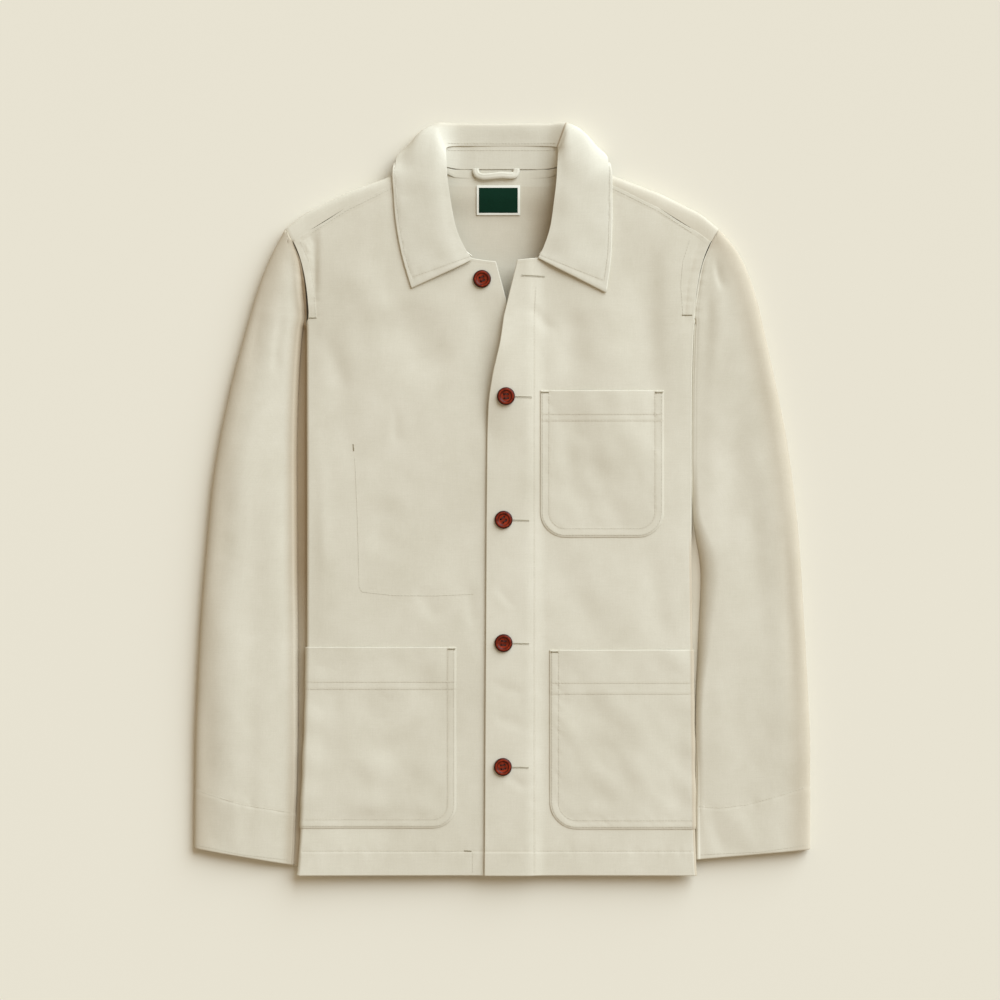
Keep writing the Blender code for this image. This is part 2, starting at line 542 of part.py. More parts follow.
def outward(grid, side):
    """Unit normals of a front's grid, pointing out of the jacket."""
    along = np.gradient(grid, axis=0)
    across = np.gradient(grid, axis=1)
    normal = np.cross(across, along) * side
    return normal / np.maximum(np.linalg.norm(normal, axis=-1, keepdims=True), 1e-9)


def pocket_grid(place, curl_part=None):
    """A patch over a front: the panel's own points moved out, with rounded lower corners."""
    side = place["side"]
    first, last = place["columns"]
    low, high = place["rows"]
    panel = front_grid(side)[:len(FRONT_ROWS[side])]
    panel = panel + outward(panel, side) * (CLOTH + GAP)
    y_rows = np.array(FRONT_ROWS[side])
    radius = place["corner"]
    corner_steps = radius * (1.0 - np.cos(np.radians(POCKET_CORNER_TURNS)))
    y_all = np.sort(np.append(y_rows[low:high + 1], y_rows[low] + corner_steps))
    rows = []
    for y in y_all:
        at = int(np.clip(np.searchsorted(y_rows, y, side="right") - 1, 0, len(y_rows) - 2))
        t = (y - y_rows[at]) / (y_rows[at + 1] - y_rows[at])
        row = panel[at] * (1.0 - t) + panel[at + 1] * t
        drop = min(y - y_rows[low], radius)
        inset = radius - math.sqrt(radius ** 2 - (radius - drop) ** 2)
        x = side * row[:, 0]
        wanted = np.maximum(x[first:last + 1], x[first] + inset)
        if curl_part is None:
            wanted = np.minimum(wanted, x[last] - inset)
        flat = len(FRONT_COLUMNS[side]["body"])
        spots = [side * wanted] + [np.interp(wanted, x[:flat], row[:flat, axis]) for axis in (1, 2)]
        points = np.stack(spots, axis=-1)
        if curl_part is not None:
            points = np.concatenate([points, row[flat:flat + curl_part]])
        rows.append(points)
    return np.array(rows)


def make_pockets():
    """Chest pocket on the left front and a lower pocket on each, round the side fold."""
    lofted("chest_pocket", pocket_grid(CHEST_POCKET), POCKET_CLOTH, CANVAS,
           offset=float(CHEST_POCKET["side"]))
    for side, place in LOWER_POCKETS.items():
        grid = pocket_grid(place, POCKET_CURL_POINTS)
        lofted("lower_pocket_" + SIDE_NAME[side], grid, POCKET_CLOTH, CANVAS, offset=float(side))


# ---------------------------------------------------------------- label and loop

def make_label_and_loop(back):
    """Bare label and hanging loop inside the back of the neck."""
    middle = back[:, back.shape[1] // 2]
    low, high = LABEL["y"]
    y = np.array((low, *[v for v in middle[:, 1] if low < v < high], high))
    x, y = np.meshgrid(np.linspace(*LABEL["x"], LABEL["columns"]), y)
    z = np.interp(y, middle[:, 1], middle[:, 2]) + GAP
    lofted("neck_label", np.stack([x, y, z], axis=-1), LABEL["thick"], LABEL_CLOTH)
    t, edge = np.meshgrid(np.linspace(0.0, 1.0, LOOP["columns"]), (-0.5, 0.5))
    x = LOOP["x"][0] + (LOOP["x"][1] - LOOP["x"][0]) * t
    y = LOOP["y"] + LOOP["width"] * edge
    arch = LOOP["rise"] * np.sin(math.pi * t) ** LOOP["power"]
    z = np.interp(y, middle[:, 1], middle[:, 2]) + GAP + arch
    lofted("hang_loop", np.stack([x, y, z], axis=-1), LOOP["thick"], CANVAS)


# ---------------------------------------------------------------- buttons

def button_mesh():
    """A dished four-hole button on its own origin, which is the middle of its underside."""
    mesh = bpy.data.meshes.new("button_profile")
    points = [(x * MM, 0.0, z * MM) for x, z in BUTTON_PROFILE]
    mesh.from_pydata(points, [(i, i + 1) for i in range(len(points) - 1)], [])
    blank = bpy.data.objects.new("button_blank", mesh)
    screw = blank.modifiers.new("turn", "SCREW")
    screw.steps = screw.render_steps = BUTTON_SIDES
    screw.use_merge_vertices = True
    screw.merge_threshold = MERGE_DISTANCE * MM
    drills = bpy.data.meshes.new("button_drills")
    tool = bmesh.new()
    for sign_x, sign_y in ((1, 1), (1, -1), (-1, 1), (-1, -1)):
        made = bmesh.ops.create_cone(tool, cap_ends=True, segments=BUTTON_HOLE_SIDES,
                                     radius1=BUTTON_HOLE / 2 * MM, radius2=BUTTON_HOLE / 2 * MM,
                                     depth=DRILL_LENGTH * MM)
        place = (sign_x * BUTTON_HOLE_SPACING / 2 * MM, sign_y * BUTTON_HOLE_SPACING / 2 * MM, 0.0)
        bmesh.ops.translate(tool, verts=made["verts"], vec=place)
    tool.to_mesh(drills)
    tool.free()
    cutter = bpy.data.objects.new("button_cutter", drills)
    for obj in (blank, cutter):
        bpy.context.scene.collection.objects.link(obj)
    holes = blank.modifiers.new("holes", "BOOLEAN")
    holes.object = cutter
    holes.operation = "DIFFERENCE"
    bpy.context.view_layer.update()
    made = bpy.data.meshes.new_from_object(blank.evaluated_get(bpy.context.evaluated_depsgraph_get()))
    for obj in (blank, cutter):
        bpy.data.objects.remove(obj, do_unlink=True)
    return made


def make_buttons():
    """Five buttons: the top one on the open right front, the others through the left front."""
    shared = button_mesh()
    shared.materials.append(material("button_finish", *BUTTON_PLASTIC))
    for number, (x, y) in enumerate(BUTTON_PLACES, start=1):
        height = front_z if number == 1 else left_front_z
        around = np.linspace(-0.5, 0.5, 5) * BUTTON_DIAMETER
        spread_x, spread_y = np.meshgrid(x + around, y + around)
        z = float(height(spread_x, spread_y).max()) + CLOTH + GAP
        obj = bpy.data.objects.new("button_%d" % number, shared)
        obj.location = (x * MM, y * MM, z * MM)
        JACKET.objects.link(obj)


CANVAS = ((0.69, 0.66, 0.54), 0.9)
LABEL_CLOTH = ((0.004, 0.03, 0.02), 0.8)
BUTTON_PLASTIC = ((0.15, 0.03, 0.012), 0.35)

for old in list(bpy.data.objects):
    bpy.data.objects.remove(old, do_unlink=True)
JACKET = bpy.data.collections.new("chore_jacket")
bpy.context.scene.collection.children.link(JACKET)
make_label_and_loop(make_body())
make_sleeves()
make_collar()
make_pockets()
make_buttons()
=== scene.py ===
"""Chore jacket in natural cotton canvas, laid flat on its back, open at the neck and buttoned below.

Every cloth piece is a surface of two parameters, worked out in millimetres on a numpy grid from the
same tables as the solids. It gets its creases, its wall and a round rim, and becomes one mesh. Seams
are sewn on afterwards: each stitch is a short thread laid on the cloth under it.

World axes: +X is the wearer's left, +Y the collar, +Z up from the surface that the jacket lies on. In
the tables x runs outwards from the middle of the body, and each side turns it to its own X.
"""
import logging
import math
from dataclasses import dataclass, field
from enum import Enum

import bpy
import numpy as np
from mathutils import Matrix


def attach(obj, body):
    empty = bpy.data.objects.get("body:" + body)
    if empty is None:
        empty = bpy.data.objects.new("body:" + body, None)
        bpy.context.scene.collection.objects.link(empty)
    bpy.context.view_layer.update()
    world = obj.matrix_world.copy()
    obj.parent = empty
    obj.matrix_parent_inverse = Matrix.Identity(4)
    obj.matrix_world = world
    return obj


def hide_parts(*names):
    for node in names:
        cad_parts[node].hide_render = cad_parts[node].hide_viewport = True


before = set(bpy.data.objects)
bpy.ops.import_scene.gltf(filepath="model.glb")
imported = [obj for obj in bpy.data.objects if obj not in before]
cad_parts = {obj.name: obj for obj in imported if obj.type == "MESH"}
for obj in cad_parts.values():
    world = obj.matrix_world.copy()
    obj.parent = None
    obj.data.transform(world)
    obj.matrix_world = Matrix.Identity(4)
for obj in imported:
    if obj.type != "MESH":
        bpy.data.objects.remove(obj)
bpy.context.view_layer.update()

log = logging.getLogger("chore_jacket")

Array = np.ndarray
Pair = tuple[float, float]
Place = tuple[float, float, float]
Piece = bpy.types.Object
Material = bpy.types.Material
Tree = bpy.types.NodeTree

MM = 0.001
WELD = 0.004           # points closer than this, in mm, are one
CLOTH = 1.3            # wall of a single canvas layer
COLLAR_CLOTH = 1.8     # wall of the two-layer collar
FLOOR_GAP = 0.12       # lowest level of cloth, which leaves room for threads under it
GAP = 0.4              # space between neighbouring pieces
MESH_STEP = 2.6        # usual distance between neighbouring grid points
RIM_ANGLES = (45.0, 90.0, 135.0)   # points of a rim's half circle, in degrees from the outer face
STITCH_PITCH = 3.3     # from one stitch to the next
EDGE_STITCH = 2.0      # first row of stitches from an edge
SEAM_STITCH = 8.8      # second row of stitches from an edge


class Side(Enum):
    """One half of the jacket, by the wearer; the value is the sign of its X."""

    RIGHT = -1
    LEFT = 1

    @property
    def label(self) -> str:
        """Name of the side in a piece's name."""
        return self.name.lower()


class Slot(Enum):
    """Kind of finish named for each piece."""

    CANVAS = "canvas"
    LABEL = "label"
    BUTTON = "button"


class View(Enum):
    """Side from which stitches are laid on the cloth; the value is the Z of the look."""

    ABOVE = -1.0
    BELOW = 1.0


# ---------------------------------------------------------------- curves and fields

def smooth(value: Array | float) -> Array:
    """Go from 0 to 1 with level ends: 3t^2 - 2t^3 of the value held between 0 and 1."""
    t = np.clip(value, 0.0, 1.0)
    return t * t * (3.0 - 2.0 * t)


def spline(at: Array, knots: Array, values: Array, level: bool = False) -> Array:
    """Smooth curve through values at knots.

    Each span is the cubic with given values and slopes at its ends. A knot's slope is the mean of the
    slopes beside it, weighted by the other span's length. With level on, it is their harmonic mean, or
    none at a turning point, so the curve never passes its values.

    Args:
        at: Where to read the curve.
        knots: Rising positions.
        values: One value, or one row of values, for each knot.
        level: Whether the curve must stay within neighbouring values.

    Returns:
        Values or rows of values at each position.
    """
    knots, values = np.asarray(knots, float), np.asarray(values, float)
    table = values.reshape(len(knots), -1)
    gaps = np.diff(knots)[:, None]
    steps = np.diff(table, axis=0) / gaps
    slopes = np.concatenate([steps[:1], steps])
    before, after = steps[:-1], steps[1:]
    if level:
        total = np.where(before * after > 0.0, before + after, 1.0)
        slopes[1:-1] = np.where(before * after > 0.0, 2.0 * before * after / total, 0.0)
    else:
        slopes[1:-1] = (before * gaps[1:] + after * gaps[:-1]) / (gaps[1:] + gaps[:-1])
    at = np.asarray(at, float)
    span = np.clip(np.searchsorted(knots, at, side="right") - 1, 0, len(knots) - 2)
    length = gaps[span]
    t = np.clip((at[..., None] - knots[span][..., None]) / length, 0.0, 1.0)
    curve = (smooth(1.0 - t) * table[span] + smooth(t) * table[span + 1]
             + t * (1.0 - t) * length * ((1.0 - t) * slopes[span] - t * slopes[span + 1]))
    return curve.reshape(at.shape + values.shape[1:])


def running(steps: Array) -> Array:
    """Distance from the first point of a line to each of its points, from the steps between them."""
    return np.concatenate([[0.0], np.cumsum(steps)])


def step_lengths(points: Array, axis: int = 0) -> Array:
    """Straight distances between neighbouring points along an axis of a line or a grid."""
    return np.linalg.norm(np.diff(points, axis=axis), axis=-1)


def girth(points: Array) -> Array:
    """Distance along each row of a grid to each of its points, in the plane of its section."""
    strips = step_lengths(points[..., ::2], 1)
    return np.concatenate([np.zeros((len(points), 1)), np.cumsum(strips, axis=1)], axis=1)


def between(a: Array, b: Array, count: int) -> Array:
    """Even steps from a, left out, to b."""
    return a + (b - a) * np.arange(1, count + 1) / count


def stations(start: float, stop: float, step: float,
             close: tuple[Place, ...] = ()) -> Array:
    """Positions from start to stop, about a step apart and closer together in places.

    The spacing at each point is the smallest of the step and what each close place asks for, which
    grows by a third of the distance outside it. Positions are where its summed inverse is whole.

    Args:
        start: First position.
        stop: Last position.
        step: Usual spacing.
        close: Places as (middle, half width, spacing).

    Returns:
        Rising positions.
    """
    probe = np.linspace(start, stop, 4001)
    size = np.full_like(probe, step)
    for middle, half, spacing in close:
        size = np.minimum(size, spacing + np.maximum(np.abs(probe - middle) - half, 0.0) / 3.0)
    count = running(np.diff(probe) / size[1:])
    return np.interp(np.linspace(0.0, count[-1], int(math.ceil(count[-1])) + 1), count, probe)


def swell(x: Array, y: Array, wave: float, seed: int) -> Array:
    """Uneven ground between about -1 and 1: nine plane waves of about one length, all round."""
    draw = np.random.default_rng(seed)
    total = np.zeros(np.broadcast(x, y).shape)
    angles = (np.arange(9) + draw.uniform(0.0, 1.0, 9)) * math.pi / 9.0
    for angle, size, phase in zip(angles, draw.uniform(0.6, 1.6, 9), draw.uniform(0.0, 2.0 * math.pi, 9)):
        turn = 2.0 * math.pi / (wave * size)
        total += np.sin(turn * (x * math.cos(angle) + y * math.sin(angle)) + phase)
    return total / 4.0


def pucker(along: Array, seed: int) -> Array:
    """Small uneven waves along a seam, 7 to 17 mm long, between about -1 and 1."""
    return 0.6 * swell(along, 0.0 * along, 9.0, seed) + 0.6 * swell(along, 0.0 * along, 15.0, seed + 1)


@dataclass(frozen=True)
class Crease:
    """Soft ridge (height above 0) or trough (below 0) along a bowed line.

    Its height falls off as exp(-r^2) of the distance from the line in half widths, and smoothly
    towards its ends. Skew makes the flank on the right of its direction steeper.
    """

    start: Pair
    end: Pair
    width: float
    height: float
    bow: float = 0.0
    skew: float = 0.0

    def lift(self, x: Array, y: Array) -> Array:
        """Height that the crease adds at world x and y."""
        run = (self.end[0] - self.start[0], self.end[1] - self.start[1])
        length = math.hypot(*run)
        t = ((x - self.start[0]) * run[0] + (y - self.start[1]) * run[1]) / length ** 2
        across = ((x - self.start[0]) * run[1] - (y - self.start[1]) * run[0]) / length
        across = across - self.bow * np.sin(math.pi * np.clip(t, 0.0, 1.0))
        near = across / (self.width * (1.0 + self.skew * np.tanh(-across / self.width)))
        ends = smooth(t / 0.35) * smooth((1.0 - t) / 0.35)
        return self.height * ends * np.exp(-near * near)


def lifted(creases: tuple[Crease, ...], x: Array, y: Array) -> Array:
    """Height that several creases add together."""
    return sum((crease.lift(x, y) for crease in creases), np.zeros(np.broadcast(x, y).shape))


def groove(distance: Array, half: float = 0.8) -> Array:
    """Depth of the hollow that a row of stitches pulls, 1 at the row, none past twice its half width."""
    return smooth(1.0 - np.abs(distance) / (2.0 * half))


# ---------------------------------------------------------------- meshes

def weld(points: Array) -> tuple[Array, Array]:
    """Find which points of a list are distinct.

    Args:
        points: List of points in mm.

    Returns:
        Place of each distinct point in the list, and for every point the number of its distinct one.
    """
    keys = np.round(points / WELD + 0.123).astype(np.int64)
    _, first, number = np.unique(keys, axis=0, return_index=True, return_inverse=True)
    return first, number.reshape(-1)


def grid_normals(points: Array, facing: int) -> Array:
    """Unit normals of a grid on its outer side.

    A cell's normal is the cross product of its diagonals. It is added to the cell's corners, and
    corners that lie in one place share their sum.

    Args:
        points: Rows x columns x 3.
        facing: +1 where columns turn left into rows seen from outside, else -1.

    Returns:
        Rows x columns x 3.
    """
    rising = points[1:, 1:] - points[:-1, :-1]
    falling = points[1:, :-1] - points[:-1, 1:]
    cell = np.cross(rising, falling) * facing
    first, number = weld(points.reshape(-1, 3))
    shared = number.reshape(points.shape[:2])
    total = np.zeros((len(first), 3))
    for corner in (shared[1:, 1:], shared[:-1, :-1], shared[1:, :-1], shared[:-1, 1:]):
        for axis in range(3):
            total[:, axis] += np.bincount(corner.ravel(), cell[..., axis].ravel(), len(first))
    total /= np.maximum(np.linalg.norm(total, axis=1, keepdims=True), 1e-12)
    return total[shared]


def place(name: str, data: bpy.types.ID) -> Piece:
    """Put a mesh, light or camera in the scene as an object."""
    obj = bpy.data.objects.new(name, data)
    bpy.context.scene.collection.objects.link(obj)
    return obj


def set_wear_and_shade(mesh: bpy.types.Mesh, wear_and_shade: Array) -> None:
    """Set each vertex's value of the attribute that darkens seams and paints shade into gaps and onto edges
    turned from the light.
    """
    attribute = mesh.attributes.new("wear_and_shade", "FLOAT", "POINT")
    attribute.data.foreach_set("value", wear_and_shade.astype(np.float32))


def add_mesh(name: str, points: Array, faces: list[Array], grain: list[Array] | None = None,
             wear_and_shade: Array | None = None) -> Piece:
    """Make one smooth object from arrays.

    Args:
        name: Name of the piece.
        points: Vertices in mm.
        faces: Arrays of faces, each with as many columns as its faces have corners.
        grain: Cloth coordinates in mm of every face corner, for the UV map, arranged as faces.
        wear_and_shade: Value of each vertex for the attribute that darkens seams and paints shade into gaps and
            onto edges turned from the light.

    Returns:
        The object, linked to the scene.
    """
    mesh = bpy.data.meshes.new(name)
    mesh.from_pydata(points * MM, [], [corner for group in faces for corner in group.tolist()])
    if grain is not None:
        layer = mesh.uv_layers.new(name="grain")
        layer.uv.foreach_set("vector", (np.concatenate([g.reshape(-1, 2) for g in grain]) * MM).ravel())
    if wear_and_shade is not None:
        set_wear_and_shade(mesh, wear_and_shade)
    mesh.validate()
    mesh.shade_smooth()
    return place(name, mesh)


@dataclass
class Shell:
    """A cloth wall over a grid of points, closed by a round rim.

    Attributes:
        points: Inner face of the wall, rows x columns x 3, in mm.
        wall: Thickness, one value or one for each point.
        facing: +1 where columns turn left into rows seen from outside, else -1.
        grain: Cloth coordinates in mm, rows x columns x 2.
        wear_and_shade: Value of each point for the attribute that darkens seams and paints shade into gaps and
            onto edges turned from the light.
        closed_rows: How many rows, from the first, meet at their ends, as on a tube.
        bulge: How far the rim stands out, as a share of a half circle; low where a seam closes it.
    """

    points: Array
    wall: Array | float
    facing: int
    grain: Array
    wear_and_shade: Array | float = 0.0
    closed_rows: int = 0
    bulge: Array | float = 1.0

    def rims(self) -> list[Array]:
        """Lines of grid points along the cloth's edges, each turning left round it."""
        rows, columns = self.points.shape[:2]
        index = np.arange(rows * columns).reshape(rows, columns)
        if self.closed_rows:
            last = self.closed_rows - 1
            return [index[0], np.concatenate([index[last:, -1], index[-1, -2::-1], index[-2:last - 1:-1, 0]
                                              if last else index[-2::-1, 0]])]
        return [np.concatenate([index[0], index[1:, -1], index[-1, -2::-1], index[-2::-1, 0]])]

    def build(self, name: str) -> Piece:
        """Make the mesh: outer face, inner face, and a half-round rim of four strips between them.

        Args:
            name: Name of the piece.

        Returns:
            The finished object.
        """
        rows, columns = self.points.shape[:2]
        flat = self.points.reshape(-1, 3)
        first, number = weld(flat)
        base = flat[first]
        normal = grid_normals(self.points, self.facing).reshape(-1, 3)[first]

        def at_points(value: Array | float) -> Array:
            """Value of each distinct point."""
            return np.broadcast_to(value, (rows, columns)).reshape(-1)[first]

        wall, bulge = at_points(self.wall)[:, None], at_points(self.bulge)[:, None]
        away = np.zeros_like(base)
        for rim in self.rims():
            ends = number[rim]
            edge = np.cross(base[ends[1:]] - base[ends[:-1]], self.facing * normal[ends[1:]])
            np.add.at(away, ends[1:], edge)
            np.add.at(away, ends[:-1], edge)
        away /= np.maximum(np.linalg.norm(away, axis=1, keepdims=True), 1e-12)
        middle = base + normal * wall / 2.0
        layers = [base + normal * wall]
        for angle in np.radians(RIM_ANGLES):
            layers.append(middle + wall / 2.0 * (normal * math.cos(angle)
                                                  + away * bulge * math.sin(angle)))
        layers.append(base)
        for layer in layers[:-1]:
            layer[:, 2] = np.maximum(layer[:, 2], FLOOR_GAP)

        index = np.arange(rows * columns).reshape(rows, columns)
        cells = np.stack([index[:-1, :-1], index[:-1, 1:], index[1:, 1:], index[1:, :-1]], axis=-1)
        cells = cells.reshape(-1, 4)
        corners = [cells, cells[:, ::-1]]
        depths = [np.zeros_like(cells), np.full_like(cells, len(layers) - 1)]
        for rim in self.rims():
            strip = np.stack([rim[1:], rim[:-1], rim[:-1], rim[1:]], axis=-1)
            for depth in range(len(layers) - 1):
                corners.append(strip)
                depths.append(np.broadcast_to(np.array([0, 0, 1, 1]) + depth, strip.shape))
        corners, depths = np.concatenate(corners), np.concatenate(depths)
        if self.facing < 0:
            corners, depths = corners[:, ::-1], depths[:, ::-1]
        vertex = number[corners] + depths * len(first)
        grain = self.grain.reshape(-1, 2)[corners]
        repeated = vertex == np.roll(vertex, -1, axis=1)
        whole, three = repeated.sum(axis=1) == 0, repeated.sum(axis=1) == 1
        faces = [vertex[whole], vertex[three][~repeated[three]].reshape(-1, 3)]
        used, compact = np.unique(np.concatenate([group.ravel() for group in faces]), return_inverse=True)
        split = faces[0].size
        faces = [compact[:split].reshape(-1, 4), compact[split:].reshape(-1, 3)]
        wear_and_shade = np.tile(at_points(self.wear_and_shade), len(layers))
        return add_mesh(name, np.concatenate(layers)[used], faces,
                        [grain[whole], grain[three][~repeated[three]]], wear_and_shade[used])


def arc_grain(points: Array) -> Array:
    """Cloth coordinates of a grid: mean length along its columns' direction, then along its rows'."""
    u = running(step_lengths(points, 1).mean(axis=0))
    v = running(step_lengths(points).mean(axis=1))
    return np.stack(np.meshgrid(u, v), axis=-1)


# ---------------------------------------------------------------- finishes

Color = tuple[int, int, int]
Socket = bpy.types.NodeSocket


def linear(color: Color, share: float = 1.0) -> tuple[float, float, float, float]:
    """A share of the linear light of an sRGB colour in 0 to 255, by the usual power curve of 2.4."""
    parts = [c / 255.0 for c in color]
    return (*[share * (c / 12.92 if c <= 0.04045 else ((c + 0.055) / 1.055) ** 2.4) for c in parts], 1.0)


class Graph:
    """Adds shader nodes to a tree and joins them."""

    def __init__(self, tree: Tree) -> None:
        """Keep the tree that nodes are added to."""
        self.tree = tree

    def fill(self, node: bpy.types.Node, inputs: dict) -> bpy.types.Node:
        """Join sockets to a node's inputs, or set their values, by name or number."""
        for key, value in inputs.items():
            if isinstance(value, Socket):
                self.tree.links.new(value, node.inputs[key])
            else:
                node.inputs[key].default_value = value
        return node

    def add(self, kind: str, inputs: dict | None = None, **settings: object) -> bpy.types.Node:
        """Add a node.

        Args:
            kind: Blender's name of the node.
            inputs: Value or output socket for each input, by name or number.
            **settings: The node's own properties.

        Returns:
            The node.
        """
        node = self.tree.nodes.new(kind)
        for key, value in settings.items():
            setattr(node, key, value)
        return self.fill(node, inputs or {})

    def math(self, operation: str, *values: object) -> Socket:
        """Output of a Math node on values or sockets."""
        return self.add("ShaderNodeMath", dict(enumerate(values)), operation=operation).outputs[0]

    def scaled(self, value: Socket, middle: float, factor: object) -> Socket:
        """How far a value lies above a middle, times a factor."""
        return self.math("MULTIPLY", self.math("SUBTRACT", value, middle), factor)

    def blend(self, factor: object, a: object, b: object) -> Socket:
        """Colour that goes from a to b with the factor."""
        return self.add("ShaderNodeMix", {0: factor, 6: a, 7: b}, data_type="RGBA").outputs[2]

    def noise(self, spot: Socket, scale: float, detail: float, **more: float) -> Socket:
        """Noise between 0 and 1 at a spot in metres."""
        inputs = {"Vector": spot, "Scale": scale, "Detail": detail, **more}
        return self.add("ShaderNodeTexNoise", inputs).outputs["Fac"]

    def spread(self, value: Socket, **limits: float) -> Socket:
        """A value mapped from one range to another; limits left out are 0 and 1."""
        inputs = {key.replace("_", " ").title(): limit for key, limit in limits.items()}
        return self.add("ShaderNodeMapRange", {"Value": value, **inputs}).outputs[0]


def new_group(name: str, inputs: str, outputs: str) -> tuple[Graph, dict, dict]:
    """Start a shader node group.

    Args:
        name: Name of the group.
        inputs: Names of its inputs, divided by commas. The first is a vector, the others numbers.
        outputs: Names of its outputs, all numbers.

    Returns:
        Its graph, its inputs' sockets and its outputs' sockets, by name.
    """
    tree = bpy.data.node_groups.new(name, "ShaderNodeTree")
    for number, label in enumerate(inputs.split(", ")):
        kind = "NodeSocketFloat" if number else "NodeSocketVector"
        tree.interface.new_socket(label, in_out="INPUT", socket_type=kind)
    for label in outputs.split(", "):
        tree.interface.new_socket(label, in_out="OUTPUT", socket_type="NodeSocketFloat")
    graph = Graph(tree)
    source, target = graph.add("NodeGroupInput"), graph.add("NodeGroupOutput")
    return graph, {s.name: s for s in source.outputs}, {s.name: s for s in target.inputs}


def weave_group() -> Tree:
    """Plain weave on cloth coordinates.

    Warp and weft are rows of round threads, |sin| across each thread. A thread is high where it
    crosses over and low where it goes under, by a cosine along it that shifts by half a turn from
    thread to thread. The higher thread is what shows. Slubs are noise drawn out along each thread.
    """
    graph, given, made = new_group("plain_weave", "Cloth, Threads per metre, Slub", "Height, Slubs")
    split = graph.add("ShaderNodeSeparateXYZ", {0: given["Cloth"]})
    turns = [graph.math("MULTIPLY", split.outputs[axis], given["Threads per metre"]) for axis in (0, 1)]
    heights, slubs = [], []
    for axis, shift, scale in ((0, 0.0, (900.0, 55.0, 1.0)), (1, 1.0, (55.0, 900.0, 1.0))):
        across, along = turns[axis], turns[1 - axis]
        round_thread = graph.math("ABSOLUTE", graph.math("SINE", graph.math("MULTIPLY", across, math.pi)))
        number = graph.math("ADD", graph.math("FLOOR", across), shift)
        turn = graph.math("MULTIPLY", graph.math("ADD", along, number), math.pi)
        over = graph.math("MULTIPLY_ADD", graph.math("COSINE", turn), 0.4, 0.6)
        stretch = graph.add("ShaderNodeVectorMath", {0: given["Cloth"], 1: scale}, operation="MULTIPLY")
        slub = graph.noise(stretch.outputs[0], 1.0, 1.0)
        thick = graph.scaled(slub, 0.5, given["Slub"])
        heights.append(graph.math("ADD", graph.math("MULTIPLY", round_thread, over), thick))
        slubs.append(slub)
    graph.tree.links.new(graph.math("MAXIMUM", *heights), made["Height"])
    graph.tree.links.new(graph.math("MULTIPLY", graph.math("ADD", *slubs), 0.5), made["Slubs"])
    return graph.tree


def tone_group() -> Tree:
    """Washed, uneven tone: broad clouds, smaller blotches and fine specks of noise, weighted and summed."""
    graph, given, made = new_group("washed_tone", "Place, Clouds, Blotches, Specks", "Tone")
    total: Socket | float = 0.5
    for label, scale, detail in (("Clouds", 7.0, 2.0), ("Blotches", 38.0, 3.0), ("Specks", 700.0, 1.0)):
        noise = graph.noise(given["Place"], scale, detail)
        total = graph.math("ADD", graph.scaled(noise, 0.5, given[label]), total)
    graph.tree.links.new(total, made["Tone"])
    return graph.tree


class Finish(Graph):
    """A new material: its shader, and where on the piece its nodes look."""

    def __init__(self, name: str) -> None:
        """Make the material with its shader."""
        self.made = bpy.data.materials.new(name)
        self.made.use_nodes = True
        super().__init__(self.made.node_tree)
        self.shader = self.tree.nodes["Principled BSDF"]
        self.spot = self.add("ShaderNodeTexCoord").outputs["Object"]
        self.cloth = self.add("ShaderNodeUVMap", uv_map="grain").outputs[0]

    def woven(self, weave: Tree, threads: float, slub: float) -> bpy.types.Node:
        """Weave on the piece's cloth coordinates."""
        inputs = {"Cloth": self.cloth, "Threads per metre": threads, "Slub": slub}
        return self.add("ShaderNodeGroup", inputs, node_tree=weave)

    def worn(self, tone: Tree, clouds: float, blotches: float, specks: float) -> Socket:
        """Washed tone with these weights."""
        inputs = {"Place": self.spot, "Clouds": clouds, "Blotches": blotches, "Specks": specks}
        return self.add("ShaderNodeGroup", inputs, node_tree=tone).outputs["Tone"]

    def seamed_and_shaded(self, body: Socket, color: Color) -> Socket:
        """Colour that goes from the body's to another with the wear_and_shade attribute: darker seams, and
        painted shade in gaps and on edges turned from the light.
        """
        wear_and_shade = self.add("ShaderNodeAttribute", attribute_name="wear_and_shade").outputs["Fac"]
        return self.blend(wear_and_shade, body, linear(color))

    def raised(self, height: Socket, distance: float, strength: float) -> Socket:
        """Normal of a surface raised by a height, distance in metres."""
        inputs = {"Height": height, "Distance": distance, "Strength": strength}
        return self.add("ShaderNodeBump", inputs).outputs[0]

    def close(self, color: Socket, roughness: object, **inputs: object) -> Material:
        """Set the shader's inputs, named with _ for spaces, and return the material."""
        named = {key.replace("_", " "): value for key, value in inputs.items()}
        self.fill(self.shader, {"Base Color": color, "Roughness": roughness, **named})
        return self.made


@dataclass(frozen=True)
class Canvas:
    """Matt natural cotton canvas, washed once: pale and uneven, darker along seams; painted shade in the
    weave's hollows, and in gaps and on folds by the wear_and_shade attribute.
    """

    name: str = "natural_canvas"
    light: Color = (226, 220, 203)
    dark: Color = (206, 199, 179)
    # seam: colour that wear_and_shade blends to, for darker seams and for painted shade in gaps, on folds and
    # on edges
    seam: Color = (152, 120, 72)
    threads: float = 2200.0    # threads to the metre
    relief: float = 0.00005    # height of the weave, metres
    roughness: float = 0.93

    def material(self, weave: Tree, tone: Tree) -> Material:
        """Build the material from the shared groups."""
        finish = Finish(self.name)
        woven = finish.woven(weave, self.threads, 0.5)
        threads = finish.scaled(woven.outputs["Slubs"], 0.5, 0.45)
        # painted shade: the weave's low parts are coloured darker, as if shaded between the threads
        hollow = finish.scaled(woven.outputs["Height"], 0.7, 0.2)
        mix = finish.math("ADD", finish.math("ADD", finish.worn(tone, 0.9, 0.55, 0.35), threads), hollow)
        body = finish.blend(mix, linear(self.dark), linear(self.light))
        return finish.close(finish.seamed_and_shaded(body, self.seam), self.roughness, Specular_IOR_Level=0.12,
                            Normal=finish.raised(woven.outputs["Height"], self.relief, 0.8))


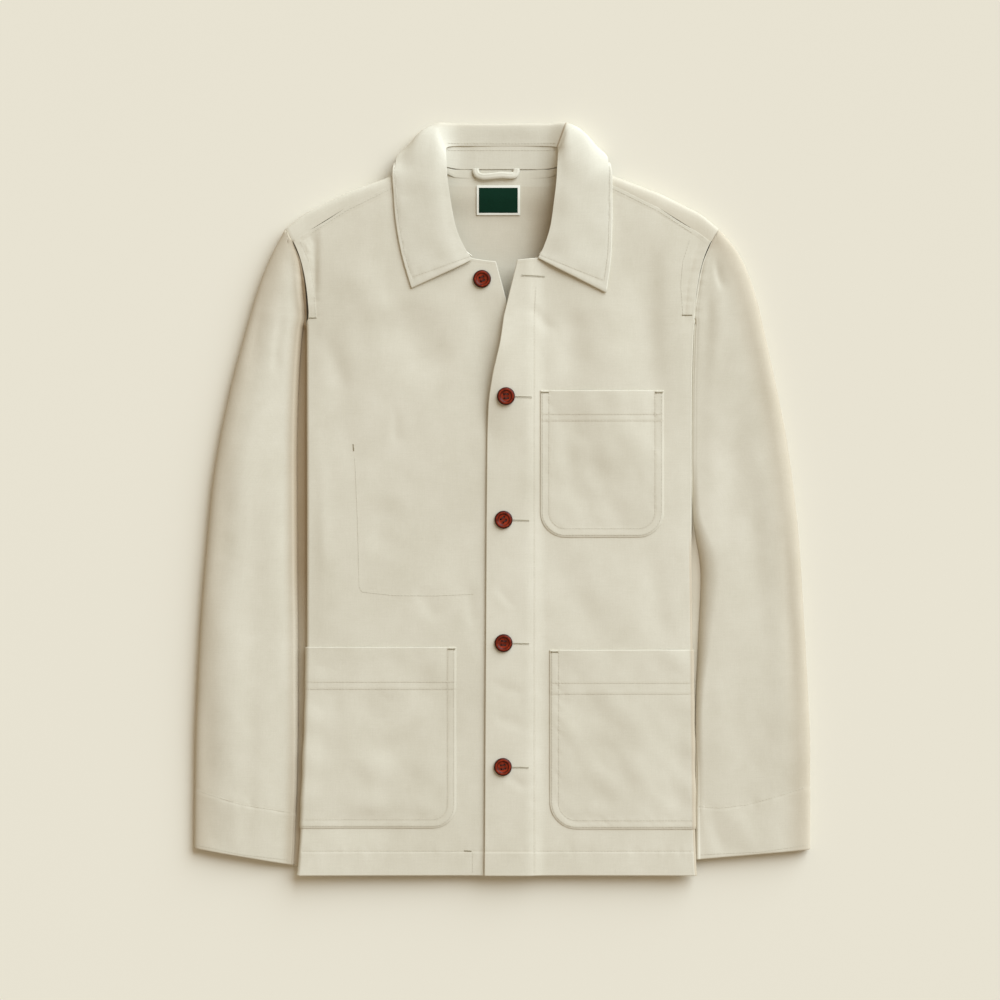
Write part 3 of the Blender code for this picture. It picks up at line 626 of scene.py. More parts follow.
@dataclass(frozen=True)
class Thread:
    """Cotton sewing thread: plies that wind round each stitch, as a fine slanted ripple."""

    name: str
    color: Color
    roughness: float = 0.7

    def material(self, tone: Tree) -> Material:
        """Build the material."""
        finish = Finish(self.name)
        body = finish.blend(finish.worn(tone, 0.3, 0.4, 1.6), linear(self.color, 0.8), linear(self.color))
        plies = finish.noise(finish.spot, 3500.0, 1.0)
        return finish.close(body, self.roughness, Normal=finish.raised(plies, 0.0001, 0.6))


@dataclass(frozen=True)
class WovenLabel:
    """Bare damask label: a dark field with a pale woven margin, by distance from the label's middle."""

    name: str = "woven_label"
    field_color: Color = (4, 50, 32)
    margin_color: Color = (238, 236, 224)
    half: Pair = (22.4, 15.1)
    margin: float = 2.1

    def material(self, weave: Tree, tone: Tree) -> Material:
        """Build the material from the shared groups."""
        finish = Finish(self.name)
        woven = finish.woven(weave, 3600.0, 0.2)
        split = finish.add("ShaderNodeSeparateXYZ", {0: finish.cloth})
        inside = [finish.math("SUBTRACT", (half - self.margin) * MM, finish.math("ABSOLUTE", away))
                  for half, away in zip(self.half, split.outputs)]
        center = finish.math("GREATER_THAN", finish.math("MINIMUM", *inside), 0.0)
        green = finish.blend(finish.worn(tone, 0.2, 0.6, 0.8), linear(self.field_color, 0.55),
                             linear(self.field_color))
        body = finish.blend(center, linear(self.margin_color), green)
        return finish.close(body, 0.7, Specular_IOR_Level=0.12,
                            Normal=finish.raised(woven.outputs["Height"], 0.00005, 0.7))


@dataclass(frozen=True)
class ButtonPlastic:
    """Polished red-brown resin with darker streaks, as if cut from horn."""

    name: str = "button_resin"
    light: Color = (164, 54, 24)
    dark: Color = (96, 27, 10)
    # deep: colour of the darker rim, and of the painted shade in the ring groove and round the holes
    deep: Color = (30, 8, 4)

    def material(self) -> Material:
        """Build the material: wavy bands bent by noise, and a clear coat."""
        finish = Finish(self.name)
        bands = finish.spread(finish.noise(finish.spot, 150.0, 4.0, Distortion=1.6),
                              from_min=0.32, from_max=0.68)
        body = finish.blend(bands, linear(self.dark), linear(self.light))
        rough = finish.spread(finish.noise(finish.spot, 900.0, 2.0), to_min=0.3, to_max=0.6)
        return finish.close(finish.seamed_and_shaded(body, self.deep), rough, Specular_IOR_Level=0.16,
                            Coat_Weight=0.04, Coat_Roughness=0.1)


@dataclass(frozen=True)
class Plain:
    """Matt even finish of the floor and of the buttonhole slits, whose darker colour is painted shade."""

    name: str
    color: Color
    roughness: float = 0.9

    def material(self) -> Material:
        """Build the material."""
        finish = Finish(self.name)
        noise = finish.noise(finish.spot, 3.0, 2.0)
        body = finish.blend(noise, linear(self.color, 0.985), linear(self.color))
        return finish.close(body, self.roughness, Specular_IOR_Level=0.1)


class Finishes:
    """Every material of the jacket, built once."""

    def __init__(self) -> None:
        """Build the shared groups and the materials."""
        weave, tone = weave_group(), tone_group()
        self.canvas = Canvas().material(weave, tone)
        self.collar = Canvas("collar_canvas", light=(229, 224, 208),
                             dark=(209, 203, 184)).material(weave, tone)
        self.thread = Thread("tonal_thread", (212, 206, 187)).material(tone)
        self.tack = Thread("bar_tack_thread", (158, 146, 116)).material(tone)
        self.label = WovenLabel().material(weave, tone)
        self.button = ButtonPlastic().material()
        self.button_thread = Thread("button_thread", (66, 22, 14)).material(tone)
        # The slits' darker colour is painted shade in the buttonholes' openings.
        self.slit = Plain("buttonhole_slit", (168, 156, 130)).material()
        self.floor = Plain("pale_floor", (233, 227, 211)).material()


def dress(obj: Piece, finish: Material, slot: Slot, *nodes: str) -> Piece:
    """Give a piece its material and body, hide the parts of the nodes that it stands for, and report it."""
    obj.data.materials.append(finish)
    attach(obj, "root")
    if nodes:
        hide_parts(*nodes)
    log.info("%s: %d faces", obj.name, len(obj.data.polygons))
    return obj


# ---------------------------------------------------------------- sewing

@dataclass
class Sewing:
    """Stitches of one sub-assembly, gathered as places and made one mesh.

    A stitch is a spindle of four rings with four corners each, 28 triangles. Ring radii follow
    THICKNESS along its length, and its underside is sunk into the cloth.
    """

    name: str
    starts: list[Array] = field(default_factory=list)
    ends: list[Array] = field(default_factory=list)
    normals: list[Array] = field(default_factory=list)
    widths: list[Array] = field(default_factory=list)
    tack_width: float = 0.55

    def lay(self, cloth: Piece, places: Array, view: View) -> tuple[Array, Array, Array]:
        """Find the cloth's surface at places in plan.

        Args:
            cloth: Piece to lay on.
            places: World x and y in mm, one row each.
            view: Side to look from.

        Returns:
            Points in mm, normals, and whether the cloth was met there, one row each.
        """
        high = -view.value * 0.2
        hits = [cloth.ray_cast((x * MM, y * MM, high), (0.0, 0.0, view.value)) for x, y in places.tolist()]
        points = np.array([tuple(hit[1]) for hit in hits]) / MM
        normals = np.array([tuple(hit[2]) for hit in hits])
        met = np.array([hit[0] for hit in hits]) & (np.abs(normals[:, 2]) > 0.35)
        return points, normals, met

    def add(self, points: Array, others: Array, normals: Array, width: float) -> None:
        """Keep threads from points to others, in mm."""
        self.starts.append(points)
        self.ends.append(others)
        self.normals.append(normals)
        self.widths.append(np.full(len(points), width))

    def stitch(self, cloth: Piece, starts: Array, ends: Array, width: float, view: View,
               longest: float = math.inf) -> None:
        """Lay threads on the cloth between places in plan, where both ends of a thread meet it.

        Args:
            cloth: Piece to lay on.
            starts: World x and y in mm of each thread's first end.
            ends: The same of its last end.
            width: Thickness of the thread.
            view: Side that they show on.
            longest: Threads of this length or more are left out.
        """
        a, normal_a, met_a = self.lay(cloth, starts, view)
        b, normal_b, met_b = self.lay(cloth, ends, view)
        good = met_a & met_b & (np.linalg.norm(a - b, axis=1) < longest)
        if good.any():
            self.add(a[good], b[good], (normal_a + normal_b)[good] / 2.0, width)

    def row(self, cloth: Piece, line: Array, view: View = View.ABOVE,
            pitch: float = STITCH_PITCH, width: float = 0.46) -> None:
        """Sew a row of stitches along a line in plan.

        Stitches start every pitch along the line and take five sixths of it. Starts waver by a tenth.

        Args:
            cloth: Piece to sew on.
            line: Points of the line, world x and y in mm.
            view: Side that the row shows on.
            pitch: Distance from one stitch to the next.
            width: Thickness of the thread.
        """
        line = np.asarray(line, float)
        run = running(step_lengths(line))
        count = max(2, int(run[-1] / pitch))
        draw = np.random.default_rng(len(self.starts) + 17)
        start = (np.arange(count) + draw.uniform(-0.06, 0.06, count) + 0.1) * run[-1] / count
        stop = start + 0.8 * run[-1] / count
        places = [np.column_stack([np.interp(at, run, line[:, axis]) for axis in (0, 1)])
                  for at in (start, stop)]
        self.stitch(cloth, *places, width, view, 1.5 * pitch)

    def bar(self, cloth: Piece, start: Pair, end: Pair, width: float = 1.9,
            view: View = View.ABOVE) -> None:
        """Sew a bar tack: threads side by side across a short line.

        Args:
            cloth: Piece to sew on.
            start: One end of the bar, world x and y in mm.
            end: Its other end.
            width: Length of each thread across the bar.
            view: Side that it shows on.
        """
        start, end = np.array(start, float), np.array(end, float)
        length = np.linalg.norm(end - start)
        count = max(4, int(length / 0.6))
        t = (np.arange(count) + 0.5) / count
        middle = start + np.outer(t, end - start)
        across = np.array((-(end - start)[1], (end - start)[0])) / length * width / 2.0
        sway = np.random.default_rng(count).uniform(0.85, 1.1, (count, 1))
        self.stitch(cloth, middle - across * sway, middle + across * sway, self.tack_width, view)

    def build(self, finish: Material) -> Piece:
        """Make the stitches' mesh.

        Ring k stands at ALONG[k] of the way with radius THICKNESS[k] of the thread's. Its corners
        are centre + radius * (side * cos + up * sin) at 45 degrees and on, flattened in height.

        Args:
            finish: Thread's material.

        Returns:
            The finished object.
        """
        along, thickness = (0.0, 0.22, 0.78, 1.0), (0.35, 1.0, 1.0, 0.35)
        start, end = np.concatenate(self.starts), np.concatenate(self.ends)
        normal, width = np.concatenate(self.normals), np.concatenate(self.widths)[:, None]
        run = end - start
        run /= np.maximum(np.linalg.norm(run, axis=1, keepdims=True), 1e-9)
        side = np.cross(run, normal)
        side /= np.maximum(np.linalg.norm(side, axis=1, keepdims=True), 1e-9)
        up = np.cross(side, run)
        corners = []
        for part, share in zip(along, thickness):
            centre = start + (end - start) * part + up * width * (0.12 + 0.1 * (share > 0.5))
            for angle in np.radians((45.0, 135.0, 225.0, 315.0)):
                corners.append(centre + width / 2.0 * share * (side * math.cos(angle)
                                                               + up * 0.8 * math.sin(angle)))
        points = np.stack(corners, axis=1)
        strip = np.array([(4 * ring + k, 4 * ring + (k + 1) % 4, 4 * ring + 4 + (k + 1) % 4, 4 * ring + 4 + k)
                          for ring in range(3) for k in range(4)] + [(3, 2, 1, 0), (12, 13, 14, 15)])
        faces = (np.arange(len(points))[:, None, None] * 16 + strip[:, ::-1]).reshape(-1, 4)
        obj = add_mesh(self.name, points.reshape(-1, 3), [faces])
        return dress(obj, finish, Slot.CANVAS)


# ---------------------------------------------------------------- body

@dataclass(frozen=True)
class BodyForm:
    """Form of the jacket's body, which every piece on it shares. Heights are of inner faces."""

    hem_y: float = -391.2
    back_hem_y: float = -388.0
    bar_tack_y: float = 190.0
    curl_length: float = 14.0
    armpit_y: float = 32.0
    tuck: float = 52.0
    back_inset: float = 5.0
    front_fold_r: float = 1.9
    pressed_fold_r: float = 0.8
    armhole_tip: float = 4.2
    armhole_bow: float = 8.0
    back_fold_r: float = 0.55
    front_side_z: float = 13.3
    seam_drop: float = 4.05
    seam_drop_width: float = 18.0
    neck_lift: float = 2.8
    lap_step: float = 2.5
    lap_lift: float = 5.4
    shoulder_x: float = 79.0
    front_tip: Pair = (213.0, 267.5)
    back_tip_x: float = 217.6
    hem_fold: float = 24.6
    placket: float = 33.4
    side_y: tuple[float, ...] = (-392.0, -385.0, -321.0, -225.0, -151.0, -34.0, 100.0, 176.0, 190.0)
    side_x: dict[Side, tuple[float, ...]] = field(default_factory=lambda: {
        Side.RIGHT: (214.4, 213.2, 209.0, 205.0, 203.6, 203.4, 203.6, 203.6, 204.2),
        Side.LEFT: (203.6, 202.8, 200.8, 199.6, 198.6, 197.4, 197.6, 199.6, 201.8)})
    height_y: tuple[float, ...] = (-391.0, -340.0, -200.0, 0.0, 150.0, 250.0, 340.0)
    height_z: tuple[float, ...] = (11.4, 12.6, 14.4, 15.8, 17.2, 17.5, 16.6)
    folds: tuple[Crease, ...] = (
        Crease((-195.0, 296.0), (-195.0, 198.0), 5.0, -1.7, 0.0, -0.35),
        Crease((-209.0, 272.0), (-199.0, 256.0), 1.8, 0.35),
        Crease((-203.0, 277.0), (-192.0, 262.0), 1.8, -0.35),
        Crease((-186.0, 180.0), (-160.0, 100.0), 10.8, -1.0),
        Crease((78.0, 200.0), (78.0, 125.0), 14.0, -1.1),
        Crease((88.0, 60.0), (120.0, -25.0), 14.0, -0.7),
        Crease((152.0, 296.0), (153.0, 104.0), 20.0, -2.4, 2.0, -0.35),
        Crease((50.0, -40.0), (114.0, -160.0), 17.0, -1.0, 6.0),
        Crease((60.0, -165.0), (142.0, -290.0), 18.0, -0.8, 6.0))
    creases: tuple[Crease, ...] = ()

    def fold_x(self, side: Side, y: Array) -> Array:
        """Outermost x of the front's side fold."""
        return spline(np.asarray(y, float), self.side_y, self.side_x[side], level=True)

    def curl(self, y: Array) -> Array:
        """Part of the half turn that the side folds make at this Y."""
        return smooth((self.bar_tack_y - y) / self.curl_length)

    def fold_r(self, side: Side, y: Array) -> Array:
        """Radius of the front's side fold: smaller where the left sleeve presses against it."""
        pressed = smooth((np.asarray(y, float) + 60.0) / 40.0) * (side is Side.LEFT)
        return self.front_fold_r + (self.pressed_fold_r - self.front_fold_r) * pressed

    def armhole_shift(self, part: Array | float) -> Array:
        """How far outwards the armhole bows from a straight line, from the bar tack to the shoulder."""
        part = np.clip(part, 0.0, 1.0)
        return self.armhole_tip * part ** 5 - self.armhole_bow * part * (1.0 - part)

    def seam_x(self, side: Side, y: Array) -> Array:
        """x of the tucked seam: it runs in by the tuck's depth times the square of the way down."""
        start = self.bar_tack_y - self.curl_length
        t = np.clip((start - y) / (start - self.armpit_y), 0.0, 1.0)
        return self.fold_x(side, y) - CLOTH - self.fold_r(side, y) - self.tuck * t * t

    def fold_in(self, side: Side, x: Array, y: Array, radius: Array | float, fold_steps: int,
                tuck_steps: int) -> tuple[Array, Array, Array, Array]:
        """Carry the columns of a panel round its side fold and back along the tuck.

        Args:
            side: Half of the jacket.
            x: Distances outwards of the panel's columns, the last one at the fold's start.
            y: Y of each row, as a column.
            radius: Radius of the fold.
            fold_steps: Columns round the fold.
            tuck_steps: Columns along the tuck.

        Returns:
            Distances outwards of every column, angles round the fold, length of the tuck, and how
            far along it each of its columns lies.
        """
        curl = self.curl(y)
        turn = math.pi * curl * np.arange(1, fold_steps + 1) / fold_steps
        arc = x[:, -1:] + radius * np.sin(turn)
        run = np.where(curl >= 1.0, arc[:, -1:] - self.seam_x(side, y), 0.0)
        back = run * np.linspace(0.0, 1.0, tuck_steps + 1)[1:]
        return np.concatenate([x, arc, arc[:, -1:] - back], axis=1), turn, run, back

    def front_z(self, x: Array, y: Array) -> Array:
        """Height of the fronts at world x and y: a crown over the width, with folds and creases."""
        middle = spline(y, self.height_y, self.height_z, level=True)
        crown = 1.0 - np.clip(np.abs(x) / 205.0, 0.0, 1.0) ** 4
        z = self.front_side_z + (middle - self.front_side_z) * crown
        z = z + lifted(self.folds, x, y)
        clear = 1.0 - smooth((y - 195.0) / 25.0) * smooth((128.0 - np.abs(x)) / 14.0)
        calm = clear * smooth((200.0 - np.abs(x)) / 16.0)
        ground = 0.5 * swell(x, y * 0.5, 80.0, 5) + 0.07 * swell(x, y * 0.6, 34.0, 6)
        return z + calm * (ground + lifted(self.creases, x, y))

    def back_z(self, x: Array, y: Array) -> Array:
        """Height of the back where it lies on the surface or on the collar."""
        rise = smooth((y - 290.0) / 30.0) * smooth((135.0 - np.abs(x)) / 22.0)
        return CLOTH + self.neck_lift * rise


BODY_CREASES = (
    Crease((-106.0, 207.0), (-59.0, 120.0), 24.0, -1.9, 4.0),
    Crease((-163.0, 256.0), (-116.0, 176.0), 20.0, 1.4),
    Crease((-176.0, 150.0), (-150.0, 20.0), 18.0, -1.0, 4.0),
    Crease((-111.0, 100.0), (-109.0, 52.0), 5.0, -0.4, 1.0, 0.3),
    Crease((-116.0, 6.0), (-124.0, -66.0), 16.0, -0.8, 4.0),
    Crease((-86.0, -88.0), (-60.0, -130.0), 10.0, -0.7, 3.0, 0.3),
    Crease((-33.0, -82.0), (-28.0, -138.0), 7.0, -0.6, 2.0),
    Crease((-192.0, -334.0), (-98.0, -338.0), 18.0, -1.4, 2.0),
    Crease((-150.0, -190.0), (-96.0, -282.0), 22.0, -0.8, 5.0),
    Crease((-188.0, 60.0), (-181.0, -90.0), 9.0, 0.6, 3.0),
    Crease((-10.0, -84.0), (18.0, -116.0), 5.0, -0.35, 2.0, 0.3),
    Crease((-14.0, -188.0), (26.0, -204.0), 5.0, -0.35, 1.0),
    Crease((-12.0, -222.0), (28.0, -238.0), 6.0, -0.4, 1.0),
    Crease((0.0, -282.0), (30.0, -304.0), 5.0, -0.5, 1.0),
    Crease((25.0, 208.0), (58.0, 170.0), 6.5, -0.7, 2.0),
    Crease((112.0, 240.0), (114.0, 112.0), 26.0, 1.5, 3.0),
    Crease((70.0, 215.0), (68.0, 118.0), 12.0, -1.0, 2.0),
    Crease((158.0, 150.0), (161.0, 36.0), 17.0, -1.1, 2.0, -0.3),
    Crease((75.0, 116.0), (77.0, -28.0), 17.0, -1.6, 2.0),
    Crease((132.0, 96.0), (128.0, -30.0), 26.0, 1.0, 3.0),
    Crease((160.0, -40.0), (167.0, -165.0), 15.0, -1.1, 4.0),
    Crease((128.0, -170.0), (160.0, -320.0), 26.0, 0.9, -5.0),
    Crease((58.0, -200.0), (84.0, -320.0), 16.0, 0.7, 3.0),
)


@dataclass(frozen=True)
class FrontCut:
    """Columns of one front: x on the body and along the neck and shoulder, and its front edge."""

    body: tuple[float, ...]
    top: tuple[float, ...]
    edge_y: tuple[float, ...]
    edge_x: tuple[float, ...]
    neck_x: tuple[float, ...]
    neck_y: tuple[float, ...]
    flat: Pair
    area: float


NECK_X = (6.9, 16.4, 31.0, 38.0, 48.0, 61.0, 72.0, 79.0, 117.0, 162.0, 200.0, 213.0)
EDGE_Y = (-392.0, -150.0, 60.0, 98.0, 128.0, 166.0, 190.0)
FRONT_CUTS = {
    Side.RIGHT: FrontCut(
        body=(-19.0, -6.0, 12.0, 27.0, 38.0, 48.0, 62.0, 78.0, 103.0, 129.0, 155.0, 179.0, 200.4),
        top=(6.9, 19.0, 31.0, 42.0, 52.0, 62.0, 71.0, 79.0, 106.0, 135.0, 162.0, 188.0, 213.0),
        edge_y=EDGE_Y, edge_x=(-19.0, -19.0, -18.6, -18.4, -17.4, -12.6, -8.6), neck_x=NECK_X,
        neck_y=(247.0, 248.0, 250.2, 251.4, 260.0, 281.0, 310.0, 341.0, 325.5, 303.5, 278.5, 267.5),
        flat=(0.290, 0.735), area=0.188),
    Side.LEFT: FrontCut(
        body=(-17.0, 10.0, 25.0, 40.0, 50.0, 62.0, 78.0, 100.0, 123.0, 146.0, 168.0, 184.0, 195.0),
        top=(16.4, 28.0, 39.0, 49.0, 60.0, 70.0, 79.0, 103.0, 128.0, 153.0, 175.0, 194.0, 213.0),
        edge_y=EDGE_Y, edge_x=(-17.7, -16.4, -15.0, -13.6, -9.5, -1.2, 2.2), neck_x=NECK_X,
        neck_y=(247.4, 248.6, 250.2, 251.0, 259.0, 280.0, 310.0, 341.0, 325.5, 303.5, 278.5, 267.5),
        flat=(0.285, 0.735), area=0.183),
}


@dataclass
class Front:
    """One front: from the hem to the shoulder, and from its edge round the side fold into the tuck."""

    form: BodyForm
    side: Side
    cut: FrontCut
    fold_steps: int = 9
    tuck_step: float = 4.5
    hem_thick: float = 0.28
    placket_thick: float = 0.08
    armhole_strip: float = 8.6
    seam_reach: float = 0.46
    yoke: float = 150.0            # length of the longest column above the bar tack, about
    shoulder_row: float = 8.0      # row of stitches from the shoulder's seam

    def height(self, x: Array, y: Array) -> Array:
        """Inner face at world x and y; the upper front steps over the lower one near the middle."""
        z = self.form.front_z(x, y)
        open_part = np.maximum(1.0 - ((y - 148.0) / 88.0) ** 2, 0.0) ** 2
        if self.side is Side.RIGHT:
            return z - 2.6 * open_part * np.exp(-((x + 16.0) / 18.0) ** 2)
        return z + self.form.lap_step * smooth((46.0 - x) / 22.0) + self.form.lap_lift * open_part * smooth(
            (62.0 - x) / 72.0) ** 1.5

    def edge(self, y: Array) -> Array:
        """x of the front edge."""
        return spline(y, self.cut.edge_y, self.cut.edge_x, level=True)

    def fold_start(self, y: Array) -> Array:
        """x where the side fold begins."""
        return self.form.fold_x(self.side, y) - CLOTH - self.form.fold_r(self.side, y)

    def wrapped(self, out: Array, y: Array) -> Array:
        """Inner face at a distance outwards along the section: flat to the fold, then an arc round it.

        Args:
            out: Distance outwards from the middle of the body, in mm.
            y: World y, below the bar tack.

        Returns:
            Points in mm, as the arrays' shape x 3.
        """
        start, radius = self.fold_start(y), self.form.fold_r(self.side, y)
        flat = np.minimum(out, start)
        angle = np.clip((out - start) / radius, 0.0, math.pi)
        z = self.height(self.side.value * flat, y) - radius * (1.0 - np.cos(angle))
        return np.stack([self.side.value * (flat + radius * np.sin(angle)), y, z], axis=-1)

    def wall(self, x: Array, y: Array) -> tuple[Array, Array]:
        """Thickness, and darkening along rows of stitches, at x outwards and y: thicker at the hem, the facing
        and the armhole.

        Args:
            x: Distance outwards in mm.
            y: World y.

        Returns:
            Thickness in mm, and darkening along rows of stitches from 0 to 1.
        """
        hem_line = self.form.hem_y + self.form.hem_fold
        lap = self.form.placket
        near_hem = y - hem_line
        near_lap = x - lap if self.side is Side.LEFT else np.full(np.shape(x), 50.0)
        above = smooth((y - self.form.bar_tack_y + 6.0) / 8.0)
        low, (tip_x, tip_y) = self.form.bar_tack_y, self.form.front_tip
        armhole = np.interp(y, (low, tip_y), (self.fold_start(np.array(low)), tip_x)) - x
        armhole = armhole + self.form.armhole_shift((y - low) / (tip_y - low))
        strip = armhole - self.armhole_strip
        thick = (CLOTH + self.hem_thick * smooth(-near_hem / 1.4)
                 + self.placket_thick * smooth(-near_lap / 1.4)
                 + 0.22 * above * smooth(-strip / 1.2))
        seam = np.maximum.reduce([groove(near_hem), groove(near_lap) * 0.8, above * groove(strip)])
        ripple = (0.22 * pucker(x, 31) * smooth(1.0 - np.abs(near_hem) / 9.0)
                  + 0.08 * pucker(y, 41) * smooth(1.0 - np.abs(near_lap) / 8.0)
                  + 0.25 * above * pucker(y, 51) * smooth(1.0 - np.abs(strip) / 10.0))
        return thick - 0.08 * seam + ripple, 0.08 * seam

    def build(self, finishes: Finishes) -> Piece:
        """Make the front.

        Rows are levels of Y up to the bar tack, then even steps to the neck and shoulder line.
        Columns run from the edge to the side fold, round it by angle, and back along the tuck.

        Args:
            finishes: The jacket's materials.

        Returns:
            The finished object.
        """
        form, sign = self.form, self.side.value
        body, top = np.array(self.cut.body), np.array(self.cut.top)
        spots = stations(body[0], body[-1], MESH_STEP, (
            (body[0], 0.5, 0.5), (form.placket, 2.0, 0.8), (body[-1] - 8.6, 2.0, 1.0), (body[-1], 0.5, 0.5)))
        column = np.interp(spots, body, np.arange(len(body)))
        y = stations(form.hem_y, form.bar_tack_y, MESH_STEP, (
            (form.hem_y, 0.5, 0.5), (form.hem_y + form.hem_fold, 2.0, 0.8), (form.bar_tack_y, 16.0, 1.4)))
        y = y[:, None]
        first, last = np.clip(1.0 - column, 0.0, 1.0), np.clip(column - len(body) + 2.0, 0.0, 1.0)
        x = (np.interp(column, np.arange(len(body)), body) + first * (self.edge(y) - body[0])
             + last * (self.fold_start(y) - body[-1]))
        y = np.broadcast_to(y, x.shape)
        z = self.height(sign * x, y)
        thick, wear_and_shade = self.wall(x, y)

        radius = form.fold_r(self.side, y[:, :1])
        x, turn, run, back = form.fold_in(self.side, x, y[:, :1], radius, self.fold_steps,
                                          int(form.tuck / self.tuck_step))
        arc_z = z[:, -1:] - radius * (1.0 - np.cos(turn))
        drop = form.seam_drop * smooth((10.0 - y[:, :1]) / 40.0) + 2.0 * (form.front_fold_r - radius)
        under_z = arc_z[:, -1:] - drop * smooth(1.0 - (run - back) / form.seam_drop_width)
        extra = x.shape[1] - z.shape[1]
        z = np.concatenate([z, arc_z, under_z], axis=1)
        y = np.concatenate([y, np.repeat(y[:, -1:], extra, axis=1)], axis=1)
        points = np.stack([sign * x, y, z], axis=-1)
        pressed = (form.front_fold_r - radius) / (form.front_fold_r - form.pressed_fold_r)
        corner = (radius + CLOTH) / np.maximum(np.abs(np.cos(turn)), np.sin(turn)) - radius - CLOTH
        folded = CLOTH + corner * pressed * (turn <= math.pi / 2.0)
        thick = np.concatenate([thick, folded, np.full(back.shape, CLOTH)], axis=1)
        # Painted shade on the left front's side fold, below where the sleeve presses it, to dull its lit round
        # edge.
        side_fold_shade = 0.4 * (self.side is Side.LEFT) * (1.0 - pressed) * (np.arange(extra) < self.fold_steps)
        wear_and_shade = np.concatenate([wear_and_shade, side_fold_shade], axis=1)

        top_x = np.interp(column, np.arange(len(top)), top)
        top_x = np.concatenate([top_x, np.full(extra, top_x[-1])])
        top_y = np.interp(top_x, self.cut.neck_x, self.cut.neck_y)
        top_y = top_y + self.seam_reach * (top_x > form.shoulder_x)
        reach, row = self.yoke, self.shoulder_row
        t = stations(0.0, reach, MESH_STEP, ((reach, 0.5, 0.5), (reach - row, 1.5, 0.9)))[1:, None] / reach
        yoke_x = points[-1, :, 0] + (sign * top_x - points[-1, :, 0]) * t
        near = smooth(1.0 - (top_x[-1] - top_x) / 34.0)
        yoke_x = yoke_x + sign * form.armhole_shift(t) * near
        yoke_y = points[-1, :, 1] + (top_y - points[-1, :, 1]) * t
        yoke = np.stack([yoke_x, yoke_y, self.height(yoke_x, yoke_y)], axis=-1)
        yoke_thick, yoke_wear = self.wall(sign * yoke_x, yoke_y)
        seam = np.broadcast_to(reach * (1.0 - t), yoke_x.shape)
        ridge = 0.06 * smooth(1.0 - seam / 9.0) - 0.04 * groove(seam - row)
        points = np.concatenate([points, yoke])
        thick = np.concatenate([thick, yoke_thick + ridge])
        wear_and_shade = np.concatenate([wear_and_shade, np.maximum(yoke_wear, 0.05 * groove(seam - row))])

        width = len(column)
        out = np.abs(points[:, :, 0])
        out[:, :width] = sign * points[:, :width, 0]
        out[:, width - 1:] = out[:, width - 1:width] + girth(points[:, width - 1:])
        grain = np.stack([out, points[:, :, 1]], axis=-1)
        name = "front_" + self.side.label
        sewn = smooth((points[:, :, 1] - form.bar_tack_y) / 6.0) * (out > 60.0)
        obj = Shell(points, thick, sign, grain, wear_and_shade, bulge=1.0 - 0.9 * sewn).build(name)
        return dress(obj, finishes.canvas, Slot.CANVAS, name)


